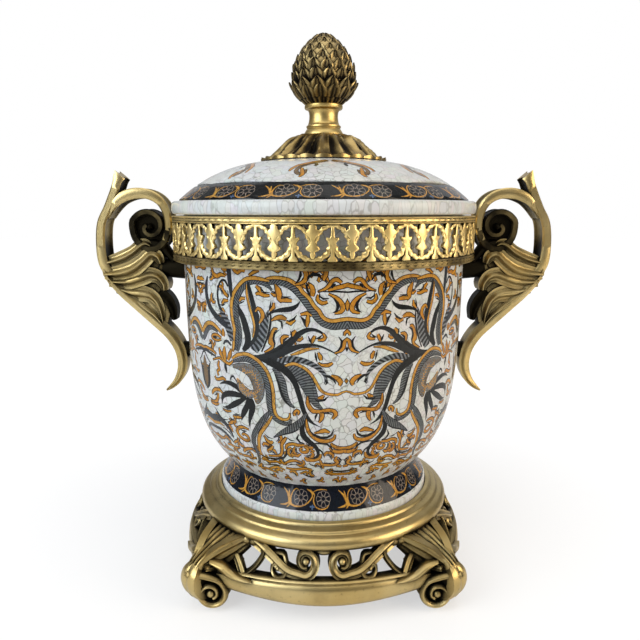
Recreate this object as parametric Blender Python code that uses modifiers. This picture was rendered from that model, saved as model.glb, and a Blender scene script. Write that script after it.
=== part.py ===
"""Mantel urn: a porcelain jar and domed lid in cast brass mounts, on a four-footed openwork stand.

Metres, +Z up, the front towards -Y, the origin on the floor under the urn's axis.
"""
import math

import bmesh
import bpy
from mathutils import Matrix, Vector

# Clearance between pieces that touch or rest on each other
GAP = 0.0003
# Looser clearance of a piece that is dropped into another
SLIP = 0.0007

# Porcelain jar
JAR_FOOT_RADIUS = 0.082
JAR_WAIST_RADIUS = 0.0735
JAR_BELLY_RADIUS = 0.1053
JAR_FOOT_HEIGHT = 0.0255
JAR_BODY_HEIGHT = 0.1862
JAR_FULLNESS = 6.3
JAR_WALL = 0.005
JAR_FLOOR = 0.006

# Porcelain lid
LID_OVERHANG = 0.0077
LID_EDGE_HEIGHT = 0.0085
LID_DOME_HEIGHT = 0.031
LID_DOME_POWER = 3.4
LID_WALL = 0.0045
LID_FLANGE_DEPTH = 0.012

# Pierced gallery round the neck, its rails flush with the lid's edge
GALLERY_HEIGHT = 0.0317
GALLERY_DROP = 0.0006
GALLERY_TOP_RAIL = 0.0041
GALLERY_BOTTOM_RAIL = 0.0054
GALLERY_METAL = 0.0014
GALLERY_RAIL_PROUD = 0.0012
GALLERY_REPEATS = 30
GALLERY_HOLE_WIDTH = 0.0068
GALLERY_HOLE_HEIGHT = 0.0176

# Finial: leaf cap, turned stem and pine cone
CAP_RADIUS = 0.047
CAP_TOP_RADIUS = 0.0195
CAP_HEIGHT = 0.0186
CAP_LOBES = 8
CAP_LIP = 0.0022
CAP_RELIEF = 0.0032
STEM_BASE_RADIUS = 0.0185
STEM_NECK_RADIUS = 0.0104
STEM_BEAD_RADIUS = 0.0134
STEM_COLLAR_RADIUS = 0.014
STEM_HEIGHT = 0.0223
CONE_RADIUS = 0.0246
CONE_HEIGHT = 0.0500
CONE_SCALES_ROUND = 11
CONE_SCALE_ROWS = 10
CONE_SCALE_PROUD = 0.0016

# Handles, measured out from a datum just inside the gallery and up from its lower edge
HANDLE_HEIGHT = 0.1675
HANDLE_REACH = 0.0666
HANDLE_DATUM_INSET = 0.0079
HANDLE_WIDTH = 0.021
HANDLE_METAL = 0.0058
VOLUTE_RADIUS = 0.0129
VOLUTE_TURNS = 1.35
ACANTHUS_WIDTH = 0.017
STUB_WIDTH = 0.016

# Stand: moulded ring, bowed rails, tracery and scroll feet
STAND_HEIGHT = 0.0620
RING_THICKNESS = 0.0148
RING_WIDTH = 0.0155
RING_SEAT_DEPTH = 0.0043
RING_SEAT_WIDTH = 0.0107
RAIL_OUT = 0.0108
RAIL_BOW = 0.017
RAIL_DEPTH = 0.0125
RAIL_MID_HEIGHT = 0.0165
RAIL_END_HEIGHT = 0.0115
RAIL_UNDERSIDE = 0.0152
RAIL_HALF_SHARE = 0.61
FOOT_RADIUS = 0.0145
FOOT_OUT = 0.0198
FOOT_WIDTH = 0.022
FOOT_PAD = 0.008
SCROLL_WIDTH = 0.0062
SCROLL_METAL = 0.0042

# Facets
TURNED_STEPS = 30
STEM_STEPS = 14

# Places worked out from the sizes above
SEAT_Z = STAND_HEIGHT - RING_SEAT_DEPTH
JAR_BASE_Z = SEAT_Z + GAP
JAR_WAIST_Z = JAR_BASE_Z + JAR_FOOT_HEIGHT
JAR_RIM_Z = JAR_WAIST_Z + JAR_BODY_HEIGHT
GALLERY_TOP_Z = JAR_RIM_Z - GALLERY_DROP
GALLERY_BASE_Z = GALLERY_TOP_Z - GALLERY_HEIGHT
LID_BASE_Z = JAR_RIM_Z + GAP
LID_TOP_Z = LID_BASE_Z + LID_EDGE_HEIGHT + LID_DOME_HEIGHT
CAP_TOP_Z = LID_TOP_Z + CAP_HEIGHT - 0.0012
STEM_BASE_Z = CAP_TOP_Z + GAP
CONE_BASE_Z = STEM_BASE_Z + STEM_HEIGHT + GAP
RING_UNDER_Z = STAND_HEIGHT - RING_THICKNESS
RING_OUTER_RADIUS = JAR_FOOT_RADIUS + SLIP + RING_WIDTH
FOOT_SPREAD = RING_OUTER_RADIUS + FOOT_OUT
RAIL_HALF_SPAN = RAIL_HALF_SHARE * FOOT_SPREAD
LID_RADIUS = JAR_BELLY_RADIUS + LID_OVERHANG


# Scene, collections and materials

def clear_scene():
    for existing in list(bpy.data.objects):
        bpy.data.objects.remove(existing)


def new_collection(name):
    collection = bpy.data.collections.new(name)
    bpy.context.scene.collection.children.link(collection)
    return collection


def principled(name, colour, roughness, metallic):
    material = bpy.data.materials.new(name)
    material.use_nodes = True
    shader = material.node_tree.nodes["Principled BSDF"]
    shader.inputs["Base Color"].default_value = (*colour, 1.0)
    shader.inputs["Roughness"].default_value = roughness
    shader.inputs["Metallic"].default_value = metallic
    return material


def add_object(name, mesh, collection, material=None):
    made = bpy.data.objects.new(name, mesh)
    collection.objects.link(made)
    if material:
        mesh.materials.append(material)
    return made


def finish_mesh(name, working):
    bmesh.ops.recalc_face_normals(working, faces=working.faces[:])
    mesh = bpy.data.meshes.new(name)
    working.to_mesh(mesh)
    working.free()
    mesh.shade_smooth()
    mesh.set_sharp_from_angle(angle=math.radians(40))
    return mesh


# Shape helpers

def turned(name, profile, steps, collection, material):
    """A profile of (radius, height) points, down the outer side, turned about Z."""
    mesh = bpy.data.meshes.new(name)
    points = [(radius, 0.0, height) for radius, height in profile]
    edges = [(i, i + 1) for i in range(len(points) - 1)]
    if profile[0][0] > 0.0:
        edges.append((len(points) - 1, 0))
    mesh.from_pydata(points, edges, [])
    made = add_object(name, mesh, collection, material)
    screw = made.modifiers.new("turn", "SCREW")
    screw.steps = steps
    screw.render_steps = steps
    screw.use_merge_vertices = True
    screw.merge_threshold = 0.00001
    screw.use_smooth_shade = True
    return made


def smooth_path(points, count):
    """Catmull-Rom points through tuples of any length, evenly spread over the spans."""
    spans = len(points) - 1
    padded = [points[0], *points, points[-1]]
    path = []
    for step in range(count):
        place = min(step * spans / (count - 1), spans - 1e-9)
        i = int(place)
        t = place - i
        before, start, end, after = padded[i:i + 4]
        path.append(tuple(
            0.5 * (2 * b + (c - a) * t + (2 * a - 5 * b + 4 * c - d) * t * t
                   + (3 * b - a - 3 * c + d) * t ** 3)
            for a, b, c, d in zip(before, start, end, after)))
    return path


def band_section(width, metal, sides):
    """Across and thickness offsets round a band; three or six sides give it ridged edges."""
    half = width / 2
    thick = metal / 2
    if sides == 4:
        return [(half, thick), (-half, thick), (-half, -thick), (half, -thick)]
    if sides == 3:
        return [(half, 0.0), (-half, thick), (-half, -thick)]
    shoulder = half - min(thick * 0.7, half * 0.4)
    return [(half, 0.0), (shoulder, thick), (-shoulder, thick),
            (-half, 0.0), (-shoulder, -thick), (shoulder, -thick)]


def swept_band(stations, across, sides):
    """A closed band through stations of (place, width, metal), flat along one direction."""
    working = bmesh.new()
    rings = []
    last = len(stations) - 1
    for i, (place, width, metal) in enumerate(stations):
        ahead = stations[min(i + 1, last)][0] - stations[max(i - 1, 0)][0]
        normal = across.cross(ahead.normalized()).normalized()
        rings.append([working.verts.new(place + across * a + normal * n)
                      for a, n in band_section(width, metal, sides)])
    for ring, following in zip(rings, rings[1:]):
        for k in range(sides):
            working.faces.new((ring[k], ring[(k + 1) % sides],
                               following[(k + 1) % sides], following[k]))
    working.faces.new(rings[0])
    working.faces.new(rings[-1])
    return working


def prism(outline, across, width):
    """A flat outline of points, thickened along one direction about its own plane."""
    working = bmesh.new()
    base = working.faces.new([working.verts.new(p - across * width / 2) for p in outline])
    grown = bmesh.ops.extrude_face_region(working, geom=[base])
    moved = [v for v in grown["geom"] if isinstance(v, bmesh.types.BMVert)]
    bmesh.ops.translate(working, verts=moved, vec=across * width)
    return working


def fuse(base, pieces):
    """Join tool objects to a base by a Boolean union, the tools kept in a collection of their own."""
    tools = new_collection(base.name + "_pieces")
    for piece in pieces:
        for owner in list(piece.users_collection):
            owner.objects.unlink(piece)
        tools.objects.link(piece)
        piece.hide_render = True
        piece.display_type = "WIRE"
    join = base.modifiers.new("fuse", "BOOLEAN")
    join.operation = "UNION"
    join.solver = "EXACT"
    join.operand_type = "COLLECTION"
    join.collection = tools


def turned_about(mesh_name, mesh, matrix):
    """A copy of a mesh under a matrix, its faces kept pointing out when the matrix mirrors it."""
    copy = mesh.copy()
    copy.name = mesh_name
    copy.transform(matrix)
    if matrix.determinant() < 0.0:
        copy.flip_normals()
    return copy


# Porcelain

def jar_radius(height):
    """The jar's outer radius at a height above its waist."""
    share = (height - JAR_WAIST_Z) / JAR_BODY_HEIGHT
    return JAR_BELLY_RADIUS - (JAR_BELLY_RADIUS - JAR_WAIST_RADIUS) * math.exp(-JAR_FULLNESS * share)


def jar_profile():
    floor_z = JAR_WAIST_Z + 0.0005
    hollow_z = floor_z - JAR_FLOOR
    shares = (0.06, 0.15, 0.31, 0.6)
    inner = [(0.0, floor_z), (jar_radius(floor_z) - JAR_WALL * 1.6, floor_z)]
    for share in shares[1:3]:
        height = JAR_WAIST_Z + share * JAR_BODY_HEIGHT
        inner.append((jar_radius(height) - JAR_WALL, height + 0.0006))
    inner.append((jar_radius(JAR_RIM_Z) - JAR_WALL, JAR_RIM_Z - 0.001))
    rim = [(jar_radius(JAR_RIM_Z) - JAR_WALL + 0.0012, JAR_RIM_Z),
           (jar_radius(JAR_RIM_Z) - 0.001, JAR_RIM_Z)]
    outer = [(jar_radius(JAR_RIM_Z), JAR_RIM_Z - 0.001)]
    for share in reversed(shares):
        height = JAR_WAIST_Z + share * JAR_BODY_HEIGHT
        outer.append((jar_radius(height), height))
    outer.append((JAR_WAIST_RADIUS, JAR_WAIST_Z))
    spread = JAR_FOOT_RADIUS - JAR_WAIST_RADIUS
    foot = [(JAR_WAIST_RADIUS + spread * 0.3, JAR_BASE_Z + JAR_FOOT_HEIGHT * 0.68),
            (JAR_WAIST_RADIUS + spread * 0.92, JAR_BASE_Z + JAR_FOOT_HEIGHT * 0.36),
            (JAR_FOOT_RADIUS, JAR_BASE_Z + JAR_FOOT_HEIGHT * 0.3),
            (JAR_FOOT_RADIUS, JAR_BASE_Z + 0.002),
            (JAR_FOOT_RADIUS - 0.0018, JAR_BASE_Z),
            (JAR_FOOT_RADIUS - JAR_WALL * 1.6, JAR_BASE_Z),
            (JAR_WAIST_RADIUS - JAR_WALL, hollow_z),
            (0.0, hollow_z)]
    return inner + rim + outer + foot


def lid_height(radius):
    """The lid's outer surface over its dome."""
    shoulder = LID_RADIUS - 0.004
    return LID_TOP_Z - LID_DOME_HEIGHT * (radius / shoulder) ** LID_DOME_POWER


def lid_profile():
    shoulder = LID_RADIUS - 0.004
    flange = jar_radius(JAR_RIM_Z) - JAR_WALL - SLIP
    dome = [(shoulder * share, lid_height(shoulder * share))
            for share in (0.0, 0.38, 0.56, 0.71, 0.83, 0.92, 1.0)]
    edge_top = LID_BASE_Z + LID_EDGE_HEIGHT
    rim = [(LID_RADIUS - 0.0012, edge_top - 0.0006),
           (LID_RADIUS, edge_top - 0.0024),
           (LID_RADIUS, LID_BASE_Z + 0.001),
           (LID_RADIUS - 0.001, LID_BASE_Z)]
    skirt = [(flange, LID_BASE_Z), (flange, LID_BASE_Z - LID_FLANGE_DEPTH),
             (flange - LID_WALL, LID_BASE_Z - LID_FLANGE_DEPTH)]
    inside = [((flange - LID_WALL) * share, lid_height((flange - LID_WALL) * share) - LID_WALL)
              for share in (1.0, 0.65, 0.0)]
    return dome + rim + skirt + inside


# Gallery

def build_gallery(collection, tools, material):
    turn = math.pi / GALLERY_REPEATS
    inner = (jar_radius(GALLERY_TOP_Z) + GAP) / math.cos(turn)
    strip = LID_RADIUS - GALLERY_RAIL_PROUD
    back = strip - GALLERY_METAL
    upper = GALLERY_TOP_Z - GALLERY_TOP_RAIL
    lower = GALLERY_BASE_Z + GALLERY_BOTTOM_RAIL
    profile = [(inner, GALLERY_TOP_Z), (LID_RADIUS, GALLERY_TOP_Z), (strip, upper), (strip, lower),
               (LID_RADIUS, GALLERY_BASE_Z), (inner, GALLERY_BASE_Z), (inner, lower),
               (back, lower), (back, upper), (inner, upper)]
    ring = turned("pierced_gallery", profile, GALLERY_REPEATS, collection, material)
    middle = (upper + lower) / 2
    half_width = GALLERY_HOLE_WIDTH / 2
    half_height = GALLERY_HOLE_HEIGHT / 2
    holes = bmesh.new()
    for k in range(2 * GALLERY_REPEATS):
        angle = (k + 0.5) * turn
        out = Vector((math.cos(angle), math.sin(angle), 0.0))
        side = Vector((-out.y, out.x, 0.0))
        outline = [out * strip + side * s * half_width + Vector((0, 0, middle + h * half_height))
                   for s, h in ((1, 1), (1, -1), (-1, -1), (-1, 1))]
        cutter = prism(outline, out, 6 * GALLERY_METAL)
        scrap = bpy.data.meshes.new("hole")
        bmesh.ops.recalc_face_normals(cutter, faces=cutter.faces[:])
        cutter.to_mesh(scrap)
        cutter.free()
        holes.from_mesh(scrap)
        bpy.data.meshes.remove(scrap)
    cutters = add_object("gallery_holes", finish_mesh("gallery_holes", holes), tools)
    cutters.hide_render = True
    cutters.display_type = "WIRE"
    pierce = ring.modifiers.new("pierce", "BOOLEAN")
    pierce.operation = "DIFFERENCE"
    pierce.solver = "EXACT"
    pierce.object = cutters
    return ring


# Finial

def build_leaf_cap(collection, material):
    """A domed cap of overlapping leaves: each lobe swells, ribs down its middle and lifts at its lip."""
    per_lobe = 4
    columns = CAP_LOBES * per_lobe
    rows = ((0.0, 0.0, 0.0), (0.16, 0.05, 0.3), (0.42, 0.26, 0.7), (0.72, 0.62, 1.0), (0.95, 0.93, 1.0))
    base_z = lid_height(CAP_RADIUS) + GAP
    fall = CAP_TOP_Z - base_z - CAP_LIP
    working = bmesh.new()
    rings = []
    for out, down, relief in rows:
        ring = []
        for k in range(columns):
            angle = 2 * math.pi * k / columns
            lobe = (1.0, 0.55, 0.0, 0.55)[k % per_lobe]
            radius = CAP_TOP_RADIUS + (CAP_RADIUS - CAP_TOP_RADIUS) * out * (0.88 + 0.12 * lobe)
            height = CAP_TOP_Z - fall * down + relief * (lobe - 0.5) * CAP_RELIEF
            ring.append(working.verts.new((radius * math.cos(angle), radius * math.sin(angle), height)))
        rings.append(ring)
    for share, lift in ((1.0, CAP_LIP * 0.6), (0.95, 0.0), (0.78, 0.0), (0.45, 0.0)):
        ring = []
        for k in range(columns):
            angle = 2 * math.pi * k / columns
            lobe = (1.0, 0.55, 0.0, 0.55)[k % per_lobe]
            radius = CAP_RADIUS * share * (0.92 + 0.08 * lobe)
            height = lid_height(radius) + GAP + lift
            ring.append(working.verts.new((radius * math.cos(angle), radius * math.sin(angle), height)))
        rings.append(ring)
    for ring, following in zip(rings, rings[1:]):
        for k in range(columns):
            working.faces.new((ring[k], ring[(k + 1) % columns],
                               following[(k + 1) % columns], following[k]))
    under = working.verts.new((0.0, 0.0, LID_TOP_Z + GAP))
    for k in range(columns):
        working.faces.new((rings[-1][k], rings[-1][(k + 1) % columns], under))
    working.faces.new(rings[0])
    return add_object("leaf_cap", finish_mesh("leaf_cap", working), collection, material)


def stem_profile():
    top = STEM_BASE_Z + STEM_HEIGHT
    shares = ((0.0, 1.0), (STEM_COLLAR_RADIUS - 0.002, 1.0), (STEM_COLLAR_RADIUS, 0.93),
              (STEM_COLLAR_RADIUS, 0.84), (STEM_NECK_RADIUS + 0.0006, 0.74),
              (STEM_NECK_RADIUS, 0.52), (STEM_BEAD_RADIUS - 0.001, 0.37),
              (STEM_BEAD_RADIUS, 0.28), (STEM_BEAD_RADIUS - 0.0012, 0.19),
              (STEM_BASE_RADIUS - 0.0025, 0.1), (STEM_BASE_RADIUS, 0.04),
              (STEM_BASE_RADIUS - 0.0004, 0.0), (0.0, 0.0))
    return [(radius, STEM_BASE_Z + (top - STEM_BASE_Z) * share) for radius, share in shares]


def cone_radius(share):
    """The pine cone's radius at a share of its height, widest two fifths of the way up."""
    widest = 0.4
    if share > widest:
        return CONE_RADIUS * (1.0 - ((share - widest) / (1.0 - widest)) ** 1.8) ** 0.62
    return CONE_RADIUS * (1.0 - ((widest - share) / widest) ** 3.4) ** 0.42


def build_cone(collection, material):
    """Staggered pointed scales: every other corner of a turned grid stands proud."""
    columns = 2 * CONE_SCALES_ROUND
    working = bmesh.new()
    rings = []
    for row in range(1, CONE_SCALE_ROWS + 1):
        share = 0.02 + 0.95 * row / (CONE_SCALE_ROWS + 0.6)
        ring = []
        for k in range(columns):
            angle = 2 * math.pi * k / columns
            tip = (row + k) % 2 == 0
            radius = cone_radius(share) + (CONE_SCALE_PROUD if tip else -CONE_SCALE_PROUD) * 0.6
            height = CONE_BASE_Z + CONE_HEIGHT * share + (0.0012 if tip else 0.0)
            ring.append(working.verts.new((radius * math.cos(angle), radius * math.sin(angle), height)))
        rings.append(ring)
    foot_radius = STEM_COLLAR_RADIUS - 0.001
    rings.insert(0, [working.verts.new((foot_radius * math.cos(2 * math.pi * k / columns),
                                        foot_radius * math.sin(2 * math.pi * k / columns),
                                        CONE_BASE_Z)) for k in range(columns)])
    for row, (ring, following) in enumerate(zip(rings, rings[1:])):
        for k in range(columns):
            corners = [ring[k], ring[(k + 1) % columns], following[(k + 1) % columns], following[k]]
            if (row + k) % 2 == 0:
                corners = corners[1:] + corners[:1]
            working.faces.new((corners[0], corners[1], corners[2]))
            working.faces.new((corners[0], corners[2], corners[3]))
    working.faces.new(rings[0])
    tip = working.verts.new((0.0, 0.0, CONE_BASE_Z + CONE_HEIGHT))
    for k in range(columns):
        working.faces.new((rings[-1][k], rings[-1][(k + 1) % columns], tip))
    return add_object("finial_cone", finish_mesh("finial_cone", working), collection, material)


# Handles

def handle_point(out, up):
    """A place on the right handle: out and up are shares of its reach and its height."""
    datum = LID_RADIUS - HANDLE_DATUM_INSET
    return Vector((datum + out * HANDLE_REACH, 0.0, GALLERY_BASE_Z + up * HANDLE_HEIGHT))


def handle_band(controls, count, sides):
    """Controls are (out, up, width, metal), the last two as shares of the band's own."""
    across = Vector((0.0, 1.0, 0.0))
    stations = [(handle_point(out, up), width * HANDLE_WIDTH, metal * HANDLE_METAL)
                for out, up, width, metal in smooth_path(controls, count)]
    return swept_band(stations, across, sides)


def handle_volute():
    """The band that leaves the spine, goes over the top and rolls up on its own middle."""
    over = ((0.784, 0.236), (0.701, 0.269), (0.551, 0.291), (0.386, 0.286), (0.258, 0.254),
            (0.185, 0.2), (0.174, 0.135), (0.221, 0.078), (0.326, 0.045), (0.461, 0.048),
            (0.559, 0.084))
    centre = handle_point(0.393, 0.138)
    places = [handle_point(out, up) for out, up in smooth_path(over, 9)]
    count = 7
    for step in range(count):
        turn = step / (count - 1) * VOLUTE_TURNS
        radius = VOLUTE_RADIUS * (1.0 - 0.8 * turn / VOLUTE_TURNS)
        angle = 2 * math.pi * turn
        places.append(centre + Vector((radius * math.cos(angle), 0.0, radius * math.sin(angle))))
    last = len(places) - 1
    stations = [(place, HANDLE_WIDTH * (0.92 - 0.2 * i / last), HANDLE_METAL * (1.15 - 0.6 * i / last))
                for i, place in enumerate(places)]
    return swept_band(stations, Vector((0.0, 1.0, 0.0)), 4), centre


def build_handles(collection, tools, material):
    spine = ((0.716, 0.377, 0.85, 0.9), (0.754, 0.308, 0.9, 0.95), (0.848, 0.224, 0.95, 1.0),
             (0.949, 0.153, 1.0, 1.0), (1.0 - 0.04, 0.057, 1.0, 1.05), (0.94, -0.026, 1.0, 1.2),
             (0.815, -0.104, 0.95, 1.6), (0.626, -0.187, 0.85, 1.8), (0.422, -0.266, 0.8, 1.8),
             (0.198, -0.361, 0.75, 1.75), (0.093, -0.444, 0.7, 1.65), (0.096, -0.522, 0.66, 1.5),
             (0.177, -0.579, 0.55, 1.1), (0.285, -0.623, 0.35, 0.4))
    acanthus = ((0.9, -0.026), (0.671, -0.023), (0.521, 0.01), (0.401, 0.054), (0.351, 0.019),
                (0.243, -0.002), (0.235, -0.032), (0.258, -0.08), (0.232, -0.14), (0.31, -0.169),
                (0.176, -0.199), (0.093, -0.259), (0.1, -0.286), (0.19, -0.286), (0.251, -0.307),
                (0.318, -0.313), (0.446, -0.271), (0.626, -0.205), (0.791, -0.14), (0.896, -0.08))
    leaves = (((0.90, -0.045, 1.0, 1.1), (0.66, -0.04, 1.05, 1.1), (0.41, 0.04, 0.5, 0.5)),
              ((0.80, -0.085, 1.0, 1.5), (0.52, -0.075, 1.1, 1.6), (0.26, -0.018, 0.7, 0.7)),
              ((0.70, -0.14, 0.95, 1.2), (0.48, -0.14, 1.0, 1.2), (0.25, -0.135, 0.6, 0.6)),
              ((0.57, -0.19, 0.95, 1.2), (0.40, -0.215, 0.95, 1.2), (0.27, -0.295, 0.5, 0.5)))
    across = Vector((0.0, 1.0, 0.0))
    rail = LID_RADIUS + 2 * GAP
    wall = jar_radius(GALLERY_BASE_Z) + GAP
    stub_top = GALLERY_BASE_Z - 2 * GAP
    outline = [Vector((wall, 0.0, stub_top)), Vector((rail, 0.0, stub_top)),
               Vector((rail, 0.0, GALLERY_BASE_Z + 0.0068)), handle_point(0.3, 0.045),
               handle_point(0.38, -0.06), handle_point(0.3, -0.15),
               Vector((wall, 0.0, GALLERY_BASE_Z - 0.025))]
    lug_z = GALLERY_BASE_Z - 0.0745
    lug_wall = jar_radius(lug_z + 0.007) + GAP
    lug = [Vector((lug_wall, 0.0, lug_z + 0.007)), Vector((lug_wall, 0.0, lug_z - 0.007)),
           handle_point(0.12, -0.49), handle_point(0.12, -0.40)]
    volute, centre = handle_volute()
    disc = bmesh.new()
    bmesh.ops.create_cone(disc, cap_ends=True, segments=12, radius1=VOLUTE_RADIUS,
                          radius2=VOLUTE_RADIUS, depth=HANDLE_WIDTH * 0.45,
                          matrix=Matrix.Translation(centre) @ Matrix.Rotation(math.pi / 2, 4, "X"))
    pieces = [("spine", handle_band(spine, 15, 6)), ("volute", volute), ("volute_web", disc),
              ("acanthus", prism([handle_point(out, up) for out, up in acanthus], across,
                                 ACANTHUS_WIDTH)),
              ("stub", prism(outline, across, STUB_WIDTH)), ("lug", prism(lug, across, STUB_WIDTH * 0.6))]
    pieces += [(f"leaf_{i}", handle_band(leaf, 3, 6)) for i, leaf in enumerate(leaves)]
    meshes = [(name, finish_mesh(name, working)) for name, working in pieces]
    handles = []
    for side, mirror in (("right", Matrix.Identity(4)), ("left", Matrix.Scale(-1, 4, (1, 0, 0)))):
        made = [add_object(f"{name}_{side}", turned_about(f"{name}_{side}", mesh, mirror), tools)
                for name, mesh in meshes]
        base = made[0]
        base.name = "handle_" + side
        tools.objects.unlink(base)
        collection.objects.link(base)
        base.data.materials.append(material)
        fuse(base, made[1:])
        handles.append(base)
    return handles


# Stand

def ring_profile():
    """The moulded ring: lip, step, cove and a heavy half-round, with the jar's seat let into it."""
    lip = JAR_FOOT_RADIUS + SLIP
    top = STAND_HEIGHT
    bore = lip - RING_SEAT_WIDTH
    outer = RING_OUTER_RADIUS
    return [(lip, top), (lip + 0.0018, top), (lip + 0.0040, top - 0.0030),
            (outer - 0.0018, top - 0.0070), (outer, top - 0.0110), (outer - 0.0024, RING_UNDER_Z),
            (bore, RING_UNDER_Z), (bore, SEAT_Z), (lip, SEAT_Z)]


def rail_distance(along):
    """How far the bowed rail's middle line stands from the axis, at a distance along the side."""
    middle = RING_OUTER_RADIUS + RAIL_OUT - RAIL_DEPTH / 2
    return middle - RAIL_BOW * (1.0 - math.cos(math.pi / 2 * along / RAIL_HALF_SPAN))


def screen_point(along, height):
    """A place on the openwork between the ring and the rail, on the front side."""
    bottom = RAIL_UNDERSIDE + RAIL_MID_HEIGHT * 0.8
    ring_y = math.sqrt((RING_OUTER_RADIUS - 0.0045) ** 2 - along * along)
    share = (RING_UNDER_Z - height) / (RING_UNDER_Z - bottom)
    return Vector((along, -(ring_y + (rail_distance(along) - ring_y) * share), height))


def spiral(centre, start_radius, end_radius, start, turns, count, direction):
    """Points of a flat spiral, inwards, as (along, height) pairs."""
    points = []
    for step in range(count):
        share = step / (count - 1)
        radius = start_radius + (end_radius - start_radius) * share ** 0.85
        angle = math.radians(start) + direction * 2 * math.pi * turns * share
        points.append((centre[0] + radius * math.cos(angle), centre[1] + radius * math.sin(angle)))
    return points


def tracery_band(points, metals, across):
    count = len(points)
    stations = []
    for i, (along, height) in enumerate(points):
        metal = metals[0] + (metals[1] - metals[0]) * i / (count - 1)
        stations.append((screen_point(along, height), SCROLL_WIDTH, SCROLL_METAL * metal))
    return swept_band(stations, across, 3)


def side_pieces():
    """One half of the front side's openwork, the half towards -X; mirrored and turned by the caller."""
    under = RING_UNDER_Z
    wide = FOOT_SPREAD
    outward = Vector((-0.12, -1.0, 0.1)).normalized()
    s_scroll = [(-0.462 * wide, under * 1.04), (-0.373 * wide, under * 0.98),
                (-0.288 * wide, under * 0.88), (-0.208 * wide, under * 0.76)]
    s_scroll += spiral((-0.103 * wide, under * 0.877), 0.0078, 0.0026, 240, 1.1, 6, 1)
    s_metals = [1.7] * 4 + [1.4] * 3 + [1.0] * 3
    small = [(-0.222 * wide, under * 0.926)]
    small += spiral((-0.263 * wide, under * 0.782), 0.0062, 0.0024, 30, 0.95, 5, -1)
    arch = [(-0.661 * wide, under * 0.657), (-0.585 * wide, under * 0.837),
            (-0.513 * wide, under * 0.794), (-0.470 * wide, under * 0.561)]
    knuckle_r = FOOT_SPREAD + FOOT_RADIUS * 0.75
    knuckle = Vector((-1, -1, 0)).normalized() * knuckle_r + Vector((0, 0, under * 0.625))
    node = screen_point(-0.449 * wide, under * 1.04)
    rib = [(node, 0.006, 0.0055), (node.lerp(knuckle, 0.35) + Vector((0, 0, 0.0025)), 0.0075, 0.0055),
           (node.lerp(knuckle, 0.7) + Vector((0, 0, 0.002)), 0.007, 0.006), (knuckle, 0.004, 0.006)]
    rib_across = (knuckle - node).cross(Vector((0, 0, 1))).normalized()
    s_stations = [(screen_point(along, height), SCROLL_WIDTH, SCROLL_METAL * metal)
                  for (along, height), metal in zip(s_scroll, s_metals)]
    return [swept_band(s_stations, outward, 3),
            tracery_band(small, (1.2, 0.8), outward),
            tracery_band(arch, (1.4, 1.2), outward),
            swept_band(rib, rib_across, 4)]


def foot_pieces():
    """The scroll foot on the +X diagonal: an outline in its own upright plane, and what lies on it."""
    r = FOOT_SPREAD
    a = FOOT_RADIUS
    under = RING_UNDER_Z
    pad = FOOT_PAD / 2
    centre_z = a * 0.92
    outline = [(r - a * 1.3, under * 0.847), (r - a * 0.14, under * 0.794), (r + a * 0.72, under * 0.71),
               (r + a, under * 0.583), (r + a * 0.98, centre_z + a * 0.3),
               (r + a * 0.7, centre_z - a * 0.55), (r - a * 0.35 + pad, 0.0), (r - a * 0.35 - pad, 0.0),
               (r - a * 1.05, centre_z - a * 0.5), (r - a * 1.12, centre_z + a * 0.2),
               (r - a * 1.0, centre_z + a * 0.75), (r - a * 1.6, under * 0.614)]
    across = Vector((0.0, 1.0, 0.0))
    body = prism([Vector((x, 0.0, z)) for x, z in outline], across, FOOT_WIDTH)
    reach = RING_OUTER_RADIUS - 0.004
    tongue = [(Vector((r + a * 0.85, 0, under * 0.636)), 0.010, 0.006),
              (Vector((r - a * 0.28, 0, under * 0.837)), 0.014, 0.008),
              (Vector((reach, 0, under + 0.003)), 0.016, 0.009)]
    pieces = [body, swept_band(tongue, across, 6)]
    for side in (1, -1):
        eye = (r - a * 0.1, centre_z)
        curl = spiral(eye, a * 0.66, 0.0018, 150, 1.1, 6, -1)
        stations = [(Vector((x, side * FOOT_WIDTH / 2, z)), 0.0042, 0.0030) for x, z in curl]
        pieces.append(swept_band(stations, Vector((0.0, side, 0.0)), 3))
    return pieces


def build_stand(collection, tools, material):
    ring = turned("stand", ring_profile(), TURNED_STEPS, collection, material)
    parts = []
    rail = []
    for step in range(5):
        along = RAIL_HALF_SPAN * (step / 2 - 1)
        share = math.cos(math.pi / 2 * along / RAIL_HALF_SPAN)
        height = RAIL_END_HEIGHT + (RAIL_MID_HEIGHT - RAIL_END_HEIGHT) * share
        middle = RAIL_UNDERSIDE + height / 2 + (1 - share) * 0.001
        rail.append((Vector((along, -rail_distance(along), middle)), height, RAIL_DEPTH))
    halves = side_pieces()
    mirror = Matrix.Scale(-1, 4, (1, 0, 0))
    meshes = [("rail", finish_mesh("rail", swept_band(rail, Vector((0, 0, 1)), 6)), Matrix.Identity(4))]
    for i, half in enumerate(halves):
        mesh = finish_mesh(f"tracery_{i}", half)
        meshes.append((f"tracery_{i}_left", mesh, Matrix.Identity(4)))
        meshes.append((f"tracery_{i}_right", mesh, mirror))
    diagonal = Matrix.Rotation(math.radians(-45), 4, "Z")
    for i, piece in enumerate(foot_pieces()):
        meshes.append((f"foot_{i}", finish_mesh(f"foot_{i}", piece), diagonal))
    for quarter in range(4):
        turn = Matrix.Rotation(quarter * math.pi / 2, 4, "Z")
        for name, mesh, place in meshes:
            full = f"{name}_{quarter}"
            parts.append(add_object(full, turned_about(full, mesh, turn @ place), tools))
    fuse(ring, parts)
    return ring


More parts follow.
